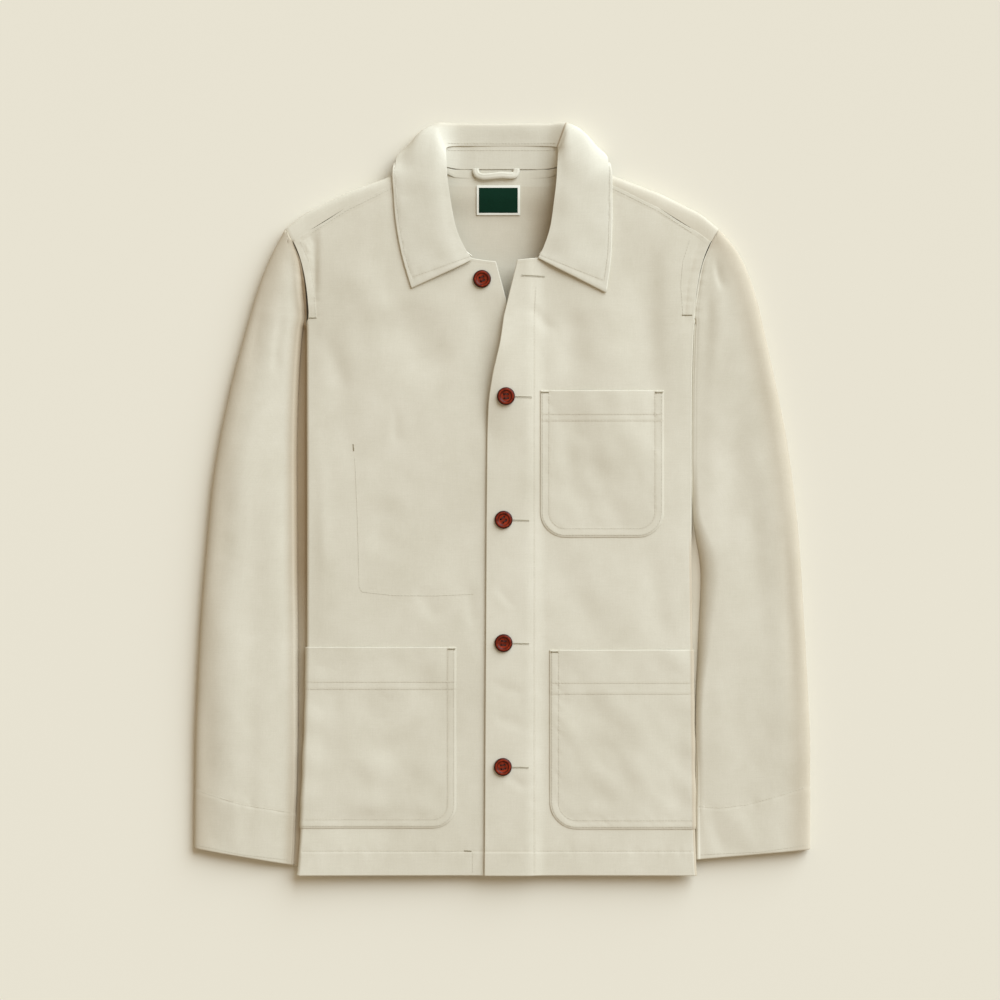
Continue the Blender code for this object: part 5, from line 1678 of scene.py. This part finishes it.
    def build(self, finishes: Finishes) -> tuple[Piece, Piece]:
        """Make the stand and the leaf.

        Args:
            finishes: The jacket's materials.

        Returns:
            Both objects.
        """
        middle = self.surface(("neck", "stand"), ((0.0, 0.5, 0.5),))
        inner = middle - grid_normals(middle, -1) * CLOTH / 2.0
        stand = Shell(inner, CLOTH, -1, arc_grain(middle)[..., ::-1], bulge=0.3).build("collar_stand")
        dress(stand, finishes.collar, Slot.CANVAS, "collar_stand")

        middle = self.surface(("leaf_0", "leaf_1", "leaf_2", "leaf_3", "leaf_4"),
                              ((0.0, 0.5, 0.5), (self.topstitch, 2.0, 0.8)))
        grain = arc_grain(middle)
        from_edge = grain[..., 0].max() - grain[..., 0]
        from_end = np.minimum(grain[..., 1], grain[..., 1].max() - grain[..., 1])
        margin = np.minimum(from_edge, from_end)
        along = np.where(from_edge < from_end, grain[..., 1], grain[..., 0])
        row = margin - self.topstitch
        start = smooth(1.0 - grain[..., 0] / 26.0)
        thick = (COLLAR_CLOTH - 1.5 * start + 0.1 * smooth(-row / 1.4) - 0.08 * groove(row)
                 + 0.22 * pucker(along, 71) * smooth(1.0 - np.abs(row) / 7.0)
                 + 0.25 * swell(middle[..., 0], middle[..., 1], 34.0, 72) * smooth(margin / 20.0))
        inner = middle - grid_normals(middle, -1) * COLLAR_CLOTH / 2.0
        (x0, y0), (x1, y1) = self.inner_line
        length = math.hypot(x1 - x0, y1 - y0)
        away = ((middle[..., 0] - x0) * (y1 - y0) - (middle[..., 1] - y0) * (x1 - x0)) / length
        reach = smooth((middle[..., 1] - y0 - 1.0) / 3.0) * (grain[..., 0] < 30.0)
        inner[..., 2] -= 0.16 * smooth(1.0 - grain[..., 0] / 3.0)
        inner[..., 2] += 1.3 * reach * smooth(away + 0.5) * np.exp(-np.maximum(away, 0.0) / 7.0)
        # Painted shadow: a dark line along the leaf's inner edge where it steps over the back; painted shade on
        # the top of the back's roll to dull its lit edge; also darker along the rows of stitches.
        crease = 0.6 * reach * np.exp(-(away / 0.8) ** 2)
        sewn = smooth(1.0 - grain[..., 0] / 2.0)
        rolled = smooth((middle[..., 1] - 386.0) / 4.0) * smooth((76.0 - np.abs(middle[..., 0])) / 8.0)
        wear_and_shade = np.maximum.reduce([0.08 * groove(row), 0.15 * rolled, crease])
        leaf = Shell(inner, thick, -1, grain[..., ::-1], wear_and_shade, bulge=1.0 - 0.6 * sewn).build("collar_leaf")
        dress(leaf, finishes.collar, Slot.CANVAS, "collar_leaf")
        return stand, leaf


# ---------------------------------------------------------------- pockets

@dataclass
class PatchPocket:
    """A patch on a front: the front's own surface moved out, with rounded lower corners.

    Attributes:
        front: Front that it lies on.
        name: Its node.
        inner: Its edge towards the middle, as distance outwards in mm.
        outer: Its other edge, or None where it follows the side fold.
        low: Y of its lower edge.
        top: Y of its upper edge.
        corner: Radius of its lower corners.
        hem_rows: Distances of the two rows of stitches from its upper edge.
        gapes: How the mouth stands off the front: (part of the width, half width, lift in mm).
    """

    front: Front
    name: str
    inner: float
    outer: float | None
    low: float
    top: float
    corner: float
    flat: Pair
    area: float
    hem_rows: Pair = (24.5, 31.2)
    gapes: tuple[Place, ...] = ((0.3, 0.16, 0.9), (0.74, 0.14, 0.6))
    fold_share: float = 0.6
    wall: float = 0.85
    gap: float = 0.2

    def sides(self, y: Array, inset: Array | float = 0.0) -> tuple[Array, Array]:
        """Distances outwards of its two edges at y, moved in by an inset and round the corners.

        Args:
            y: World y.
            inset: Distance kept from the outline.

        Returns:
            Inner and outer distances.
        """
        radius = self.corner - inset
        drop = np.clip(self.corner - (y - self.low), 0.0, radius)
        cut = inset + radius - np.sqrt(np.maximum(radius ** 2 - drop ** 2, 0.0))
        if self.outer is not None:
            return self.inner + cut, self.outer - cut
        turn = math.pi * self.fold_share * self.front.form.front_fold_r
        return self.inner + cut, self.front.fold_start(y) + turn

    def margin(self, across: Array, y: Array) -> Array:
        """Distance to the outline, from the distance across to a side edge: round the lower corner."""
        up = y - self.low
        reach = np.hypot(np.maximum(self.corner - across, 0.0), np.maximum(self.corner - up, 0.0))
        cornered = (across < self.corner) & (up < self.corner)
        return np.where(cornered, self.corner - reach, np.minimum(across, up))

    def outline(self, inset: float) -> Array:
        """Line of stitches in plan, down the inner edge, round the bottom and up the other edge.

        Args:
            inset: Distance from the outline.

        Returns:
            World x and y in mm.
        """
        turn = np.linspace(0.0, 1.0, 15)
        side_y = np.linspace(self.top - 1.0, self.low + self.corner, 12)
        arc_y = self.low + inset + (self.corner - inset) * (1.0 - np.sin(turn * math.pi / 2.0))
        y = np.concatenate([side_y, arc_y[1:]])
        inner, outer = self.sides(y, inset)
        line = [np.column_stack([inner, y])]
        if self.outer is None:
            line.append(np.array([[self.front.fold_start(np.array(self.low)) + 1.0, self.low + inset]]))
        else:
            line.append(np.column_stack([outer, y])[::-1])
        return np.concatenate(line) * (self.front.side.value, 1.0)

    def build(self, finishes: Finishes) -> Piece:
        """Make the pocket.

        Args:
            finishes: The jacket's materials.

        Returns:
            The finished object.
        """
        arc = np.linspace(0.0, math.pi / 2.0, 13)[:-1]
        rows = (self.top - self.hem_rows[0], self.top - self.hem_rows[1])
        y = np.concatenate([self.low + self.corner * (1.0 - np.cos(arc)), stations(
            self.low + self.corner, self.top, MESH_STEP, ((rows[0], 1.5, 0.9), (rows[1], 1.5, 0.9),
                                                          (self.top, 0.5, 0.5)))])[:, None]
        inner, outer = self.sides(y)
        full = float((outer - inner).max())
        close = ((0.0, 0.5, 0.5), (SEAM_STITCH, 1.5, 0.9))
        if self.outer is not None:
            close += ((full, 0.5, 0.5), (full - SEAM_STITCH, 1.5, 0.9))
        else:
            close += ((full, 5.0, 0.8),)
        part = stations(0.0, full, MESH_STEP, close) / full
        out = inner + (outer - inner) * part
        y = np.broadcast_to(y, out.shape)
        under = self.front.wrapped(out, y)
        normal = grid_normals(under, self.front.side.value)
        below, _ = self.front.wall(out, y)

        down = self.top - y
        margin = self.margin(out - self.inner, y)
        if self.outer is not None:
            margin = np.minimum(margin, self.margin(self.outer - out, y))
        edge_row = margin - SEAM_STITCH
        seed = len(self.name)
        mouth = smooth(1.0 - down / 42.0) * smooth(margin / 16.0)
        gape = sum(lift * np.exp(-((part - place) / half) ** 2) for place, half, lift in self.gapes)
        loose = smooth((margin - SEAM_STITCH) / 14.0)
        body = 0.35 * (0.6 + swell(self.front.side.value * out, y, 44.0, 81 + seed)) * loose
        seam = np.maximum.reduce([groove(edge_row), groove(down - self.hem_rows[0]),
                                  groove(down - self.hem_rows[1]) * 0.8])
        pressed = smooth(1.0 - margin / 2.5) * (down > 1.0) * (0.35 + 0.15 * (y < self.low + 12.0))
        thick = (self.wall - pressed + 0.08 * smooth(-edge_row / 1.4)
                 + 0.1 * smooth((self.hem_rows[1] - down) / 1.4) - 0.06 * seam
                 + 0.16 * pucker(out + y, 91 + seed) * smooth(1.0 - np.abs(edge_row) / 8.0)
                 + 0.12 * pucker(out, 95 + seed) * smooth(1.0 - np.abs(down - self.hem_rows[1]) / 9.0))
        points = under + normal * (below + self.gap + mouth * gape + np.maximum(body, 0.0))[..., None]
        grain = np.stack([out, y], axis=-1)
        # Painted shade where the left pocket turns round the side fold, to dull its lit round edge.
        side_fold_shade = 0.4 * smooth((out - self.front.fold_start(y) + 0.6) / 0.8) * (self.front.side is Side.LEFT)
        wear_and_shade = np.maximum(0.08 * seam, side_fold_shade)
        obj = Shell(points, thick, self.front.side.value, grain, wear_and_shade).build(self.name)
        return dress(obj, finishes.canvas, Slot.CANVAS, self.name)


# ---------------------------------------------------------------- label, loop, buttons

@dataclass
class NeckTrim:
    """Bare label and hanging loop inside the back of the neck."""

    form: BodyForm
    label_middle: Pair = (-3.9, 312.6)
    label_half: Pair = (22.4, 15.1)
    label_thick: float = 0.7
    loop_path: tuple[Place, ...] = (
        (-27.6, 345.2, 0.6), (-27.4, 342.2, 1.0), (-25.2, 338.7, 1.6), (-21.4, 337.2, 2.2), (-12.0, 337.4, 2.6),
        (0.0, 338.6, 2.6), (8.6, 338.2, 2.2), (13.2, 339.0, 1.6), (14.8, 341.8, 1.0), (15.0, 345.2, 0.6))
    loop_width: float = 5.8
    loop_thick: float = 1.0

    def build(self, finishes: Finishes) -> tuple[Piece, Piece]:
        """Make the label, which follows the back, and the loop, an uneven arch of doubled cloth.

        Args:
            finishes: The jacket's materials.

        Returns:
            Both objects.
        """
        half = self.label_half
        u = stations(-half[0], half[0], 1.6, ((-half[0], 1.0, 0.6), (half[0], 1.0, 0.6)))
        v = stations(-half[1], half[1], 1.6, ((-half[1], 1.0, 0.6), (half[1], 1.0, 0.6)))
        u, v = np.meshgrid(u, v)
        x, y = self.label_middle[0] + u, self.label_middle[1] + v
        wave = 0.12 * (1.0 + swell(x, y, 17.0, 101)) * smooth(np.minimum(half[0] - np.abs(u),
                                                                        half[1] - np.abs(v)) / 4.0)
        points = np.stack([x, y, self.form.back_z(x, y) + GAP + wave], axis=-1)
        label = Shell(points, self.label_thick, 1, np.stack([u, v], axis=-1)).build("neck_label")
        dress(label, finishes.label, Slot.LABEL, "neck_label")

        path = np.array(self.loop_path)
        knots = running(step_lengths(path))
        at = stations(0.0, knots[-1], 0.8)
        line = spline(at, knots, path)
        run = np.gradient(line[:, :2], axis=0)
        run /= np.linalg.norm(run, axis=1, keepdims=True)
        across = np.linspace(-0.5, 0.5, 11)
        offset = np.stack([-run[:, 1], run[:, 0]], axis=-1)[:, None, :] * (self.loop_width * across)[:, None]
        plan = line[:, None, :2] + offset
        bow = line[:, None, 2] - 0.5 * (2.0 * across) ** 2
        points = np.stack([plan[..., 0], plan[..., 1],
                           self.form.back_z(plan[..., 0], plan[..., 1]) + GAP + 0.5 + bow], axis=-1)
        dent = 0.22 * np.exp(-((across - 0.08) / 0.11) ** 2)
        thick = self.loop_thick * (0.7 + 0.3 * np.sqrt(1.0 - (1.9 * across) ** 2) - dent)
        thick = thick + 0.0 * points[..., 0]
        loop = Shell(points, thick, -1, arc_grain(points)[..., ::-1]).build("hang_loop")
        dress(loop, finishes.collar, Slot.CANVAS, "hang_loop")
        return label, loop


@dataclass
class Buttons:
    """Five four-hole buttons, turned to a profile, with their thread."""

    places: tuple[Pair, ...] = ((-20.8, 229.3), (4.1, 107.2), (1.6, -21.0), (1.6, -149.2), (0.9, -278.1))
    turns: tuple[float, ...] = (20.0, 4.0, 38.0, -6.0, 10.0)
    diameter: float = 18.7
    thick: float = 3.2
    hole: float = 2.2
    spacing: float = 4.2
    dish: float = 1.25             # how far the middle of the face lies under its rim
    plug: float = 0.9              # width of the threads that stand in the holes
    strands: tuple[float, ...] = (-0.45, -0.15, 0.15, 0.45)    # threads of a bar, across it
    sides: int = 64
    hole_sides: int = 16

    def profile(self) -> Array:
        """Radius and height from the middle of the face over the rim to the middle of the back."""
        r, h = self.diameter / 2.0, self.thick
        return np.array([(0.0, h - self.dish), (1.6, h - self.dish), (r - 4.6, h - 1.2), (r - 3.9, h - 1.05),
                         (r - 3.3, h - 0.45), (r - 2.9, h - 0.1), (r - 2.3, h), (r - 1.5, h - 0.05),
                         (r - 0.8, h - 0.4), (r - 0.25, h - 1.0), (r, h - 1.6), (r - 0.2, h - 2.2),
                         (r - 0.9, h - 2.8), (r - 2.2, 0.0), (0.0, 0.0)])

    def holes(self) -> list[Pair]:
        """Middle of each hole."""
        return [(sx * self.spacing / 2.0, sy * self.spacing / 2.0)
                for sx, sy in ((1, 1), (-1, 1), (-1, -1), (1, -1))]

    def blank(self) -> Piece:
        """One button at the origin: the profile turned about Z, with four holes drilled through."""
        profile = self.profile()
        turn = np.arange(self.sides) * 2.0 * math.pi / self.sides
        ring = profile[1:-1]
        points = np.stack([ring[:, :1] * np.cos(turn), ring[:, :1] * np.sin(turn),
                           ring[:, 1:] + 0.0 * turn], axis=-1).reshape(-1, 3)
        points = np.concatenate([points, [(0.0, 0.0, profile[0, 1]), (0.0, 0.0, profile[-1, 1])]])
        index = np.arange(len(ring) * self.sides).reshape(len(ring), self.sides)
        after = np.roll(index, -1, axis=1)
        quads = np.stack([index[:-1], index[1:], after[1:], after[:-1]], axis=-1).reshape(-1, 4)
        face = np.stack([index[0], after[0], np.full(self.sides, len(points) - 2)], axis=-1)
        under = np.stack([after[-1], index[-1], np.full(self.sides, len(points) - 1)], axis=-1)
        body = add_mesh("button_blank", points, [quads, np.concatenate([face, under])])
        count = self.hole_sides
        drill_turn = np.arange(count) * 2.0 * math.pi / count
        drills, walls, caps = [], [], []
        for number, (hole_x, hole_y) in enumerate(self.holes()):
            x = hole_x + self.hole / 2.0 * np.cos(drill_turn)
            y = hole_y + self.hole / 2.0 * np.sin(drill_turn)
            for z in (-1.0, self.thick + 1.0):
                drills.append(np.column_stack([x, y, np.full(count, z)]))
            low = 2 * count * number + np.arange(count)
            after = np.roll(low, -1)
            walls.append(np.stack([low, after, after + count, low + count], axis=-1))
            caps += [low[::-1], low + count]
        cutter = add_mesh("button_drills", np.concatenate(drills), [np.concatenate(walls), np.array(caps)])
        holes = body.modifiers.new("holes", "BOOLEAN")
        holes.object = cutter
        bpy.context.view_layer.update()
        shaped = bpy.data.meshes.new_from_object(body.evaluated_get(bpy.context.evaluated_depsgraph_get()))
        shaped.shade_smooth()
        shaped.set_sharp_from_angle(angle=math.radians(50.0))
        body.modifiers.clear()
        body.data = shaped
        bpy.data.objects.remove(cutter, do_unlink=True)
        return body

    def build(self, finishes: Finishes, cloths: tuple[Piece, ...]) -> None:
        """Make the five buttons and their thread.

        Args:
            finishes: The jacket's materials.
            cloths: The front under each button.
        """
        blank = self.blank()
        thread = Sewing("button_thread")
        for number, ((x, y), turn) in enumerate(zip(self.places, self.turns), start=1):
            under = np.array([(x, y), (x - 5.0, y), (x + 5.0, y), (x, y - 5.0), (x, y + 5.0)])
            z = thread.lay(cloths[min(number - 1, 1)], under, View.ABOVE)[0][:, 2].max()
            mesh = blank.data.copy()
            co = np.zeros(len(mesh.vertices) * 3)
            mesh.vertices.foreach_get("co", co)
            co = co.reshape(-1, 3) / MM
            c, s = math.cos(math.radians(turn)), math.sin(math.radians(turn))

            def turned(u: Array, v: Array, height: Array) -> Array:
                """World points of points on the button, at these heights."""
                return np.stack([c * u - s * v + x, s * u + c * v + y, height + 0.0 * u], axis=-1)

            placed = turned(co[:, 0], co[:, 1], co[:, 2] + z)
            mesh.vertices.foreach_set("co", (placed * MM).ravel())
            mesh.update()
            radius = np.hypot(co[:, 0], co[:, 1])
            # Darker at the rim; painted shade in the ring groove and in the dish round the holes.
            wear_and_shade = (0.85 * smooth((radius - 7.4) / 1.0) + 0.85 * np.exp(-((radius - 5.9) / 0.6) ** 2)
                    + 0.4 * smooth((3.6 - radius) / 1.6))
            set_wear_and_shade(mesh, wear_and_shade)
            obj = place("button_%d_turned" % number, mesh)
            dress(obj, finishes.button, Slot.BUTTON, "button_%d" % number)
            face, half = z + self.thick - self.dish, np.full(1, self.spacing / 2.0)
            for shift in self.strands:
                for row in (-1, 1):
                    line = row * half + shift
                    thread.add(turned(-half, line, face), turned(half, line, face),
                               np.array([[0.0, 0.0, 1.0]]), 0.4)
            for hole_x, hole_y in self.holes():
                for around in np.radians((0.0, 90.0, 180.0, 270.0)):
                    u = np.full(1, hole_x + self.plug / 2.0 * math.cos(around))
                    v = np.full(1, hole_y + self.plug / 2.0 * math.sin(around))
                    thread.add(turned(u, v, z + 0.1), turned(u, v, face - 0.1),
                               np.array([[1.0, 0.0, 0.0]]), self.plug)
        bpy.data.objects.remove(blank, do_unlink=True)
        thread.build(finishes.button_thread)


# ---------------------------------------------------------------- sewing plan

@dataclass
class SewingPlan:
    """Every row of stitches, bar tack and buttonhole, placed on the finished pieces."""

    form: BodyForm
    finishes: Finishes
    armhole: dict[Side, tuple[Pair, ...]] = field(default_factory=lambda: {
        Side.RIGHT: ((300.0, 241.0), (308.5, 260.0), (314.3, 290.0), (315.5, 318.0)),
        Side.LEFT: ((690.0, 239.0), (683.0, 262.0), (681.0, 284.0), (683.0, 314.0))})
    tacks: tuple[tuple[str, Pair, Pair], ...] = (
        ("front_right", (308.7, 317.8), (316.5, 317.8)), ("front_left", (682.0, 315.0), (692.5, 315.0)),
        ("front_right", (353.0, 444.0), (353.6, 451.0)), ("front_right", (464.0, 851.4), (471.5, 851.8)))

    buttonhole: float = 23.2

    def fronts(self, right: Piece, left: Piece) -> None:
        """Sew the hems, facings, armholes, shoulders, inner pocket and tacks of both fronts."""
        sewing, tacks = Sewing("front_stitching"), Sewing("bar_tacks")
        form = self.form
        hem = form.hem_y + form.hem_fold
        pieces = {"front_right": right, "front_left": left}
        sewing.row(right, np.array([(-208.0, hem), (-30.0, hem)]))
        sewing.row(left, np.array([(33.0, hem), (198.0, hem)]))
        sewing.row(left, np.array([(form.placket, form.hem_y + 3.0), (form.placket, 190.0), (35.5, 222.0)]))
        sewing.row(right, np.array([(-30.5, form.hem_y + 2.0), (-30.5, hem)]))
        for side, piece in ((Side.RIGHT, right), (Side.LEFT, left)):
            sewing.row(piece, from_view(self.armhole[side]))
            shoulder = np.array([(86.0, 338.0), (117.0, 325.5), (162.0, 303.5), (198.0, 280.5)])
            sewing.row(piece, (shoulder - (0.0, 3.0)) * (side.value, 1.0))
        pocket = from_view(((354.8, 458.0), (357.5, 520.0), (359.2, 587.0), (362.0, 592.0), (394.7, 595.5),
                            (434.5, 595.8), (474.0, 594.0)))
        sewing.row(right, pocket)
        for name, start, end in self.tacks:
            a, b = from_view((start, end))
            tacks.bar(pieces[name], tuple(a), tuple(b), 1.5)
        sewing.build(self.finishes.thread)
        tacks.build(self.finishes.tack)

    def back(self, back: Piece) -> None:
        """Sew the back's hem on the underside."""
        sewing = Sewing("back_stitching")
        hem = self.form.back_hem_y + self.form.hem_fold
        sewing.row(back, np.array([(-196.0, hem), (190.0, hem)]), View.BELOW)
        sewing.build(self.finishes.thread)

    def sleeves(self, sleeves: dict[Side, Piece]) -> None:
        """Sew the cuffs, on both layers, and the edges of the cuffs."""
        sewing = Sewing("sleeve_stitching")
        edges = {Side.RIGHT: ((194.5, 845.5), (240.0, 855.0), (288.0, 861.0)),
                 Side.LEFT: ((701.0, 855.5), (762.0, 852.5), (809.0, 845.5))}
        for side, sleeve in sleeves.items():
            for line in (SLEEVE_CUTS[side].cuff_line, edges[side]):
                for view in View:
                    sewing.row(sleeve, from_view(line), view)
        sewing.build(self.finishes.thread)

    def collar(self, collar: Collar, stand: Piece, leaf: Piece) -> None:
        """Sew the leaf's edge, seen from above and from below, and the stand's two rows."""
        sewing = Sewing("collar_stitching")
        middle = collar.surface(("leaf_0", "leaf_1", "leaf_2", "leaf_3", "leaf_4"), ())
        grain = arc_grain(middle)[0, :, 0]
        at = np.interp(grain[-1] - collar.topstitch, grain, np.arange(len(grain)))
        step, part = int(at), at - int(at)
        edge = middle[:, step] * (1.0 - part) + middle[:, step + 1] * part
        length = arc_grain(middle)[:, 0, 1]
        kept = (length > collar.topstitch) & (length < length[-1] - collar.topstitch)
        for rows, view in ((kept & (edge[:, 2] > 16.0) & (edge[:, 0] < 0.0), View.ABOVE),
                           (kept & (edge[:, 2] > 16.0) & (edge[:, 0] > 0.0), View.ABOVE),
                           (kept & (edge[:, 2] < 6.0), View.BELOW)):
            sewing.row(leaf, edge[rows, :2], view)
        for end in (0, -1):
            row = int(np.argmin(np.abs(length - (collar.topstitch if end == 0 else length[-1]
                                                 - collar.topstitch))))
            sewing.row(leaf, middle[row, 2:step + 1, :2], View.ABOVE)
        for y in (364.6, 371.6):
            piece = stand if y < 368.0 else leaf
            sewing.row(piece, np.array([(-57.0, y), (56.0, y)]))
        sewing.build(self.finishes.thread)

    def pockets(self, pockets: list[tuple[PatchPocket, Piece]]) -> None:
        """Sew both rows round each pocket, its two hem rows, and the tacks at its upper corners."""
        sewing, tacks = Sewing("pocket_stitching"), Sewing("pocket_tacks")
        for pocket, piece in pockets:
            sign = pocket.front.side.value
            for inset in (EDGE_STITCH, SEAM_STITCH):
                sewing.row(piece, pocket.outline(inset))
            for down in pocket.hem_rows:
                y = pocket.top - down
                inner, outer = pocket.sides(np.array(y))
                sewing.row(piece, np.array([(sign * (float(inner) + 1.5), y),
                                            (sign * (float(outer) - 1.5), y)]))
            ends = [pocket.inner + 0.8]
            if pocket.outer is not None:
                ends.append(pocket.outer - 8.8)
            for x in ends:
                tacks.bar(piece, (sign * x, pocket.top - 1.7), (sign * (x + 8.0), pocket.top - 1.7), 1.7)
        sewing.build(self.finishes.thread)
        tacks.build(self.finishes.tack)

    def buttonholes(self, front: Piece, buttons: Buttons) -> None:
        """Work a buttonhole for each button: threads side by side along both lips of a slit, whose darker
        colour is painted shade.
        """
        sewing = Sewing("buttonhole_stitching")
        places = [(32.2, 232.3, -3.0)] + [(x + 14.5, y - 0.6, -1.5) for x, y in buttons.places[1:]]
        slits = []
        for x, y, turn in places:
            c, s = math.cos(math.radians(turn)), math.sin(math.radians(turn))
            half = self.buttonhole / 2.0
            for lip in (-1.0, 1.0):
                ends = [(x + c * t - s * lip * 0.7, y + s * t + c * lip * 0.7) for t in (-half, half)]
                sewing.bar(front, ends[0], ends[1], 0.9)
            for t in (-half - 0.4, half + 0.4):
                sewing.bar(front, (x + c * t + s * 1.1, y + s * t - c * 1.1),
                           (x + c * t - s * 1.1, y + s * t + c * 1.1), 0.8)
            t = np.linspace(-1.0, 1.0, 25)
            spread = 0.2 * np.sqrt(np.maximum(1.0 - t ** 2, 0.0)) + 0.04
            sides = [np.column_stack([x + c * half * t - s * w * spread, y + s * half * t + c * w * spread])
                     for w in (-1.0, 1.0)]
            slits.append([sewing.lay(front, side, View.ABOVE)[0] for side in sides])
        self.slits(slits)
        sewing.build(self.finishes.thread)

    def slits(self, slits: list[list[Array]]) -> None:
        """Make the slits, coloured darker as painted shade in the openings: closed thin lenses just above the
        cloth, between the lips.
        """
        points, faces = [], []
        for low_side, high_side in slits:
            count = len(low_side)
            base = sum(len(p) for p in points)
            lens = [low_side, high_side]
            points += [edge + (0.0, 0.0, lift) for lift in (-0.2, 0.12) for edge in lens]
            k = base + np.arange(count - 1)
            top_low, top_high = k + 2 * count, k + 3 * count
            faces += [np.stack([top_low, top_low + 1, top_high + 1, top_high], axis=-1),
                      np.stack([k + count, k + count + 1, k + 1, k], axis=-1),
                      np.stack([k, k + 1, top_low + 1, top_low], axis=-1),
                      np.stack([top_high, top_high + 1, k + count + 1, k + count], axis=-1)]
            for at, flip in ((0, False), (count - 1, True)):
                ring = base + at + count * np.array([0, 2, 3, 1])
                faces.append((ring[::-1] if flip else ring)[None, :])
        obj = add_mesh("buttonhole_slits", np.concatenate(points), [np.concatenate(faces)])
        dress(obj, self.finishes.slit, Slot.CANVAS)


# ---------------------------------------------------------------- studio

@dataclass
class Studio:
    """Pale floor, soft light from the upper right, and a camera straight above."""

    aim: tuple[float, float, float] = (-0.0021, -0.0005, 0.018)
    distance: float = 3.0
    frame_width: float = 1.04
    sensor: float = 36.0
    floor_half: float = 6000.0     # half the floor's width and its level, in mm
    floor_z: float = -0.3
    key_azimuth: float = 50.0
    key_height: float = 28.0
    key_spread: float = 60.0
    key_strength: float = 4.12
    key_color: tuple[float, float, float] = (0.902, 1.035, 1.175)
    world_color: tuple[float, float, float] = (1.0, 0.83, 0.61)
    world_strength: float = 0.44

    def build(self, finishes: Finishes) -> None:
        """Make the floor, the light, the world and the camera."""
        corners = np.array([(-1.0, -1.0), (1.0, -1.0), (1.0, 1.0), (-1.0, 1.0)]) * self.floor_half
        floor = add_mesh("floor", np.insert(corners, 2, self.floor_z, axis=1), [np.array([[0, 1, 2, 3]])])
        floor.data.materials.append(finishes.floor)
        self.light()
        world = bpy.data.worlds.new("studio")
        world.use_nodes = True
        sky = world.node_tree.nodes["Background"]
        sky.inputs["Color"].default_value = (*self.world_color, 1.0)
        sky.inputs["Strength"].default_value = self.world_strength
        bpy.context.scene.world = world
        bpy.context.scene.view_settings.view_transform = "Standard"
        lens = bpy.data.cameras.new("camera")
        lens.sensor_width = self.sensor
        lens.lens = self.sensor * self.distance / self.frame_width
        lens.clip_end = 50.0
        camera = place("camera", lens)
        camera.location = (self.aim[0], self.aim[1], self.aim[2] + self.distance)
        bpy.context.scene.camera = camera

    def light(self) -> None:
        """Add a broad far light: an azimuth and a height give where it comes from."""
        lamp = bpy.data.lights.new("key", "SUN")
        lamp.angle = math.radians(self.key_spread)
        lamp.energy = self.key_strength
        lamp.color = self.key_color
        obj = place("key", lamp)
        obj.rotation_euler = (math.radians(90.0 - self.key_height), 0.0,
                              math.radians(self.key_azimuth + 90.0))


# ---------------------------------------------------------------- the jacket


def main() -> None:
    """Build the jacket, sew it, and set it in the studio."""
    logging.basicConfig(level=logging.INFO, format="%(message)s")
    finishes = Finishes()
    studio = Studio()
    studio.build(finishes)
    form = BodyForm(creases=BODY_CREASES)
    fronts = {side: Front(form, side, FRONT_CUTS[side]) for side in Side}
    back = Back(form).build(finishes)
    panels = {side: front.build(finishes) for side, front in fronts.items()}
    sleeves = {side: Sleeve(form, side, SLEEVE_CUTS[side]).build(finishes) for side in Side}
    collar = Collar()
    stand, leaf = collar.build(finishes)
    patches = [
        PatchPocket(fronts[Side.LEFT], "chest_pocket", inner=40.0, outer=168.0, low=-39.0, top=113.0,
                    corner=26.0, flat=(0.128, 0.152), area=0.0191),
        PatchPocket(fronts[Side.LEFT], "lower_pocket_left", inner=50.0, outer=None, low=-343.0, top=-157.0,
                    corner=28.0, flat=(0.155, 0.186), area=0.0285, hem_rows=(34.0, 45.5),
                    gapes=((0.22, 0.1, 0.8), (0.82, 0.14, 1.0), (0.5, 0.1, 0.5))),
        PatchPocket(fronts[Side.RIGHT], "lower_pocket_right", inner=48.0, outer=None, low=-342.0, top=-154.0,
                    corner=24.0, flat=(0.164, 0.188), area=0.0304, hem_rows=(36.0, 43.5),
                    gapes=((0.2, 0.14, 1.0), (0.7, 0.2, 0.6))),
    ]
    pockets = [(patch, patch.build(finishes)) for patch in patches]
    NeckTrim(form).build(finishes)
    bpy.context.view_layer.update()
    buttons = Buttons()
    buttons.build(finishes, (panels[Side.RIGHT], panels[Side.LEFT]))
    plan = SewingPlan(form, finishes)
    plan.fronts(panels[Side.RIGHT], panels[Side.LEFT])
    plan.back(back)
    plan.sleeves(sleeves)
    plan.collar(collar, stand, leaf)
    plan.pockets(pockets)
    plan.buttonholes(panels[Side.LEFT], buttons)


if __name__ == "__main__":
    main()
